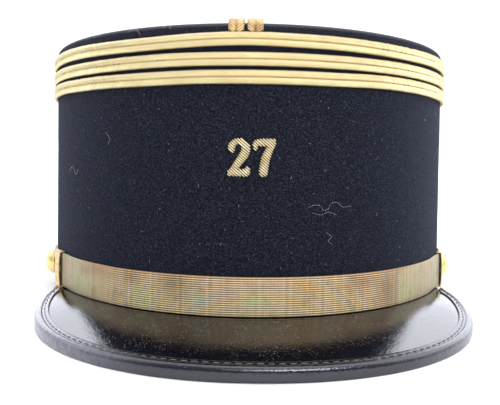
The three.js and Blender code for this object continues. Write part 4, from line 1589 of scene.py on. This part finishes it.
def binding_row(share):
    flange = flange_at(share)
    places = [(lateral * flange, up * MM) for lateral, up in BINDING_TOP]
    places += [(min(lateral * MM, flange), up * MM) for lateral, up in BINDING_UNDER]
    return [binding_point(share, lateral, up) for lateral, up in places]


binding_rows = [binding_row(i / BINDING_STATIONS) for i in range(BINDING_STATIONS + 1)]
rolled_edge = loft("rolled_edge", binding_rows)
edge_rub_and_reflection, edge_chips = [], []
binding_points = len(BINDING_TOP) + len(BINDING_UNDER)
for vertex in rolled_edge.data.vertices:
    x = vertex.co.x
    # The corners' grey is partly rubbed wear and partly a painted reflection, stronger at the left.
    rub_and_reflection_left = RUB_AND_REFLECTION_LEFT * smoothstep(-x, 30 * MM, 76 * MM)
    rub_and_reflection_right = RUB_AND_REFLECTION_RIGHT * smoothstep(x, 40 * MM, 78 * MM)
    edge_rub_and_reflection.append(rub_and_reflection_left + rub_and_reflection_right)
    near = math.exp(-(((x - CHIP_X) / CHIP_REACH) ** 2))
    edge_chips.append(near if vertex.index % binding_points in CHIP_ROWS else 0)
set_attribute(rolled_edge, "rub", "FLOAT", edge_rub_and_reflection)
set_attribute(rolled_edge, "chip", "FLOAT", edge_chips)
hand_over(rolled_edge, "edge_leather", "visor_binding", material=edge_leather)

# %% [markdown]
# ## The binding's stitches
# A row of dark stitches holds the fold, sunk beside the bead. Each is one short thread along the
# outline, so the thread tree makes them with no slant.

# %% Binding stitches
STITCH_PITCH = 3.1 * MM
STITCH_LENGTH = 2.1 * MM
STITCH_LATERAL = 0.7  # share of the flange
STITCH_HEIGHT = 0.72 * MM
stitch_places = []
for i in range(8, BINDING_STATIONS - 7):
    share = i / BINDING_STATIONS
    point = binding_point(share, STITCH_LATERAL * flange_at(share), STITCH_HEIGHT)
    stitch_places.append((point, Vector((0, 0, 1)), STITCH_LENGTH, 0))
stitch_settings = {
    "Pitch": STITCH_PITCH,
    "Thread Width": 0.4 * MM,
    "Thread Height": 0.4 * MM,
    "Seed": 40,
    "Facets": 8,
    "Finish": thread_dark,
}
edge_stitches = grow(thread_lines("edge_stitches", [(stitch_places, False)]), laid, stitch_settings)
hand_over(edge_stitches, "edge_leather")

# %% [markdown]
# ## Lint
# Dark wool shows every thread of lint. A geometry tree scatters short curved fibres over the wall,
# with a fixed seed so that every run gives the same cap. The few long threads are drawn one by one.

# %% Geometry tree: lint
fluff, fluff_in, fluff_out = open_group(
    "scattered_lint",
    "GeometryNodeTree",
    [
        ("Cloth", "Geometry", None),
        ("Density", "Float", 3000.0),
        ("Fibre Length", "Float", 1.4 * MM),
        ("Fibre Radius", "Float", 0.03 * MM),
        ("Seed", "Int", 3),
        ("Finish", "Material", None),
    ],
    [("Geometry", "Geometry")],
)
fluff_points = add_node(
    fluff,
    "GeometryNodeDistributePointsOnFaces",
    {"Mesh": fluff_in["Cloth"], "Density": fluff_in["Density"], "Seed": fluff_in["Seed"]},
)
fluff_arc = node_out(fluff, "GeometryNodeCurveArc", {"Resolution": 6, "Radius": 0.5, "Sweep Angle": 2.6})
fluff_round = node_out(
    fluff,
    "GeometryNodeCurvePrimitiveCircle",
    {"Resolution": 4, "Radius": calc(fluff, "DIVIDE", fluff_in["Fibre Radius"], fluff_in["Fibre Length"])},
)
fluff_fibre = node_out(
    fluff, "GeometryNodeCurveToMesh", {"Curve": fluff_arc, "Profile Curve": fluff_round, "Fill Caps": True}
)
fluff_spin = node_out(
    fluff,
    "FunctionNodeRandomValue",
    {"Max": (0.5, 0.5, 6.28), "Seed": fluff_in["Seed"]},
    data_type="FLOAT_VECTOR",
)
fluff_turn = node_out(
    fluff,
    "FunctionNodeRotateRotation",
    {"Rotation": fluff_points.outputs["Rotation"], "Rotate By": fluff_spin},
    rotation_space="LOCAL",
)
fluff_seed = calc(fluff, "ADD", fluff_in["Seed"], 5)
fluff_size = add_node(
    fluff, "FunctionNodeRandomValue", {2: 0.25, 3: 1.0, "Seed": fluff_seed}, data_type="FLOAT"
)
fluff_copies = node_out(
    fluff,
    "GeometryNodeInstanceOnPoints",
    {
        "Points": fluff_points.outputs[0],
        "Instance": fluff_fibre,
        "Rotation": fluff_turn,
        "Scale": calc(fluff, "MULTIPLY", fluff_size.outputs[1], fluff_in["Fibre Length"]),
    },
)
close_tree(fluff, fluff_copies, fluff_in, fluff_out)

# %% Lint on the cloth
LINT_ROWS = 20
LINT_COLUMNS = 96
LINT_LOW = 15 * MM
LINT_HIGH = 72 * MM
LINT_GAP = 0.03 * MM
lint_points, lint_faces = [], []
for row in range(LINT_ROWS + 1):
    z = lerp(LINT_LOW, LINT_HIGH, row / LINT_ROWS)
    for i in range(LINT_COLUMNS):
        lint_points.append(oval_point(2 * math.pi * i / LINT_COLUMNS, z, LINT_GAP))
for row in range(LINT_ROWS):
    here, above = row * LINT_COLUMNS, (row + 1) * LINT_COLUMNS
    for i in range(LINT_COLUMNS):
        j = (i + 1) % LINT_COLUMNS
        lint_faces.append((here + i, here + j, above + j, above + i))
lint_host = new_piece("lint_fibres", lint_points, lint_faces)
lint_settings = {"Density": 7000.0, "Fibre Length": 1.0 * MM, "Fibre Radius": 0.03 * MM, "Finish": lint}
lint_fibres = grow(lint_host, fluff, lint_settings)
hand_over(lint_fibres, "cloth")

# %% Single threads of lint
LINT_THREADS = [
    [
        (11.5, 34), (13, 35), (14.5, 34.6), (15.2, 33.2), (16.2, 33.6),
        (17, 35.4), (18.4, 35.8), (20, 34.2), (22, 34.6),
    ],
    [(12.5, 32.4), (14.5, 31.8), (16.5, 32.6), (18.5, 31.6)],
    [(16, 26), (17.2, 24.5), (16.4, 23.2), (17.6, 22)],
    [(-31, 91), (-28.6, 91.4), (-27.4, 89.6)],
    [(-46, 90.8), (-44.3, 92.3), (-42.6, 91), (-41.6, 91.9)],
    [(-40.6, 91), (-39.2, 92.6), (-37.4, 91.2)],
    [(-21.5, 91.2), (-20.4, 92.4), (-19.6, 90.6)],
    [(-38, 58), (-36.5, 56), (-37, 54)],
    [(-55, 44), (-53, 46), (-51, 43), (-50, 45)],
]
LINT_POINTS = 24
LINT_LIFT = 0.15 * MM


def cloth_point(degrees, height, lift):
    """A point just off the cloth. Heights above the foot of the rolled edge go on over the roll."""
    angle = math.radians(degrees)
    turn = max(0, height - crest_z) / CREST_RADIUS
    reach = CREST_RADIUS + lift
    z = min(height, crest_z) + reach * math.sin(turn) + FRONT_RISE * math.cos(angle)
    return oval_point(angle, z, reach * math.cos(turn) - CREST_RADIUS)


curl_points, curl_edges = [], []
for thread in LINT_THREADS:
    for i in range(LINT_POINTS):
        degrees, height = spline(thread, i / (LINT_POINTS - 1))
        if i:
            curl_edges.append((len(curl_points) - 1, len(curl_points)))
        curl_points.append(cloth_point(degrees, height * MM, LINT_LIFT))
curl_host = new_piece("lint_threads", curl_points, edges=curl_edges)
lint_threads = grow(curl_host, wires, {"Wire Radius": 0.028 * MM, "Facets": 5, "Finish": lint})
hand_over(lint_threads, "cloth")

# %% [markdown]
# ## Floor, light and camera
# The cap stands on a plain white floor under soft light. A large light behind it gives the bright
# reflections at the visor's corners. Two lights above, left and right with a gap between them, put
# highlights on the rolled edge and leave its middle dark, and a small one in front lifts the gold.
# The camera stands low in front, close enough that the oval shows its perspective.

# %% Floor
FLOOR_HALF = 1.8
floor_corners = [(FLOOR_HALF * x, FLOOR_HALF * y, 0) for x, y in ((-1, -1), (1, -1), (1, 1), (-1, 1))]
floor = new_piece("floor", floor_corners, [(0, 1, 2, 3)])
floor_white = speckled("floor_white", 3.0, (0.93, 0.93, 0.93, 1), (0.95, 0.95, 0.95, 1), Roughness=0.9)
floor.data.materials.append(floor_white)
print("floor:", 2 * FLOOR_HALF, "m wide")

# %% World and lights
world = bpy.data.worlds.new("studio")
world.use_nodes = True
studio = world.node_tree
background = studio.nodes["Background"]
studio_place = split(studio, add_node(studio, "ShaderNodeTexCoord").outputs["Generated"])
studio_level = map_range(studio, studio_place[1], -0.7, 0.3, 0.35, 1.25)
background.inputs["Color"].default_value = (0.95, 0.965, 1, 1)
studio.links.new(studio_level, background.inputs["Strength"])
bpy.context.scene.world = world
bpy.context.scene.view_settings.view_transform = "Standard"
LIT_PLACE = Vector((0, 0, 0.05))
WHITE = (1, 1, 1)
COOL = (0.9, 0.93, 1)
SOFT_LIGHTS = [
    {"name": "left_light", "place": (-1.15, 0.1, 1.9), "size": (1.5, 3.2), "watts": 14, "tint": WHITE},
    {"name": "right_light", "place": (1.15, 0.1, 1.9), "size": (1.5, 3.2), "watts": 20, "tint": WHITE},
    {"name": "back_light", "place": (0.2, 1.6, 0.75), "size": (4.4, 1.5), "watts": 39, "tint": COOL},
    {"name": "front_light", "place": (0.45, -1.3, 1.3), "size": (1.0, 0.7), "watts": 20, "tint": WHITE},
]
for row in SOFT_LIGHTS:
    data = bpy.data.lights.new(row["name"], "AREA")
    data.shape = "RECTANGLE"
    data.size, data.size_y = row["size"]
    data.energy = row["watts"]
    data.color = row["tint"]
    lamp = bpy.data.objects.new(row["name"], data)
    lamp.location = row["place"]
    lamp.rotation_euler = (LIT_PLACE - Vector(row["place"])).to_track_quat("-Z", "Y").to_euler()
    bpy.context.scene.collection.objects.link(lamp)
print("lights:", len(SOFT_LIGHTS))

# %% Camera
camera_data = bpy.data.cameras.new("camera")
camera_data.lens = 50.4
camera_data.sensor_width = 36
camera = bpy.data.objects.new("camera", camera_data)
camera.location = Vector((-9.0, -307.89, 73.3)) * MM
camera.rotation_euler = [math.radians(a) for a in (83.142, -0.855, -1.713)]
bpy.context.scene.collection.objects.link(camera)
bpy.context.scene.camera = camera
print("camera:", round(1000 * camera.location.z), "mm above the floor")
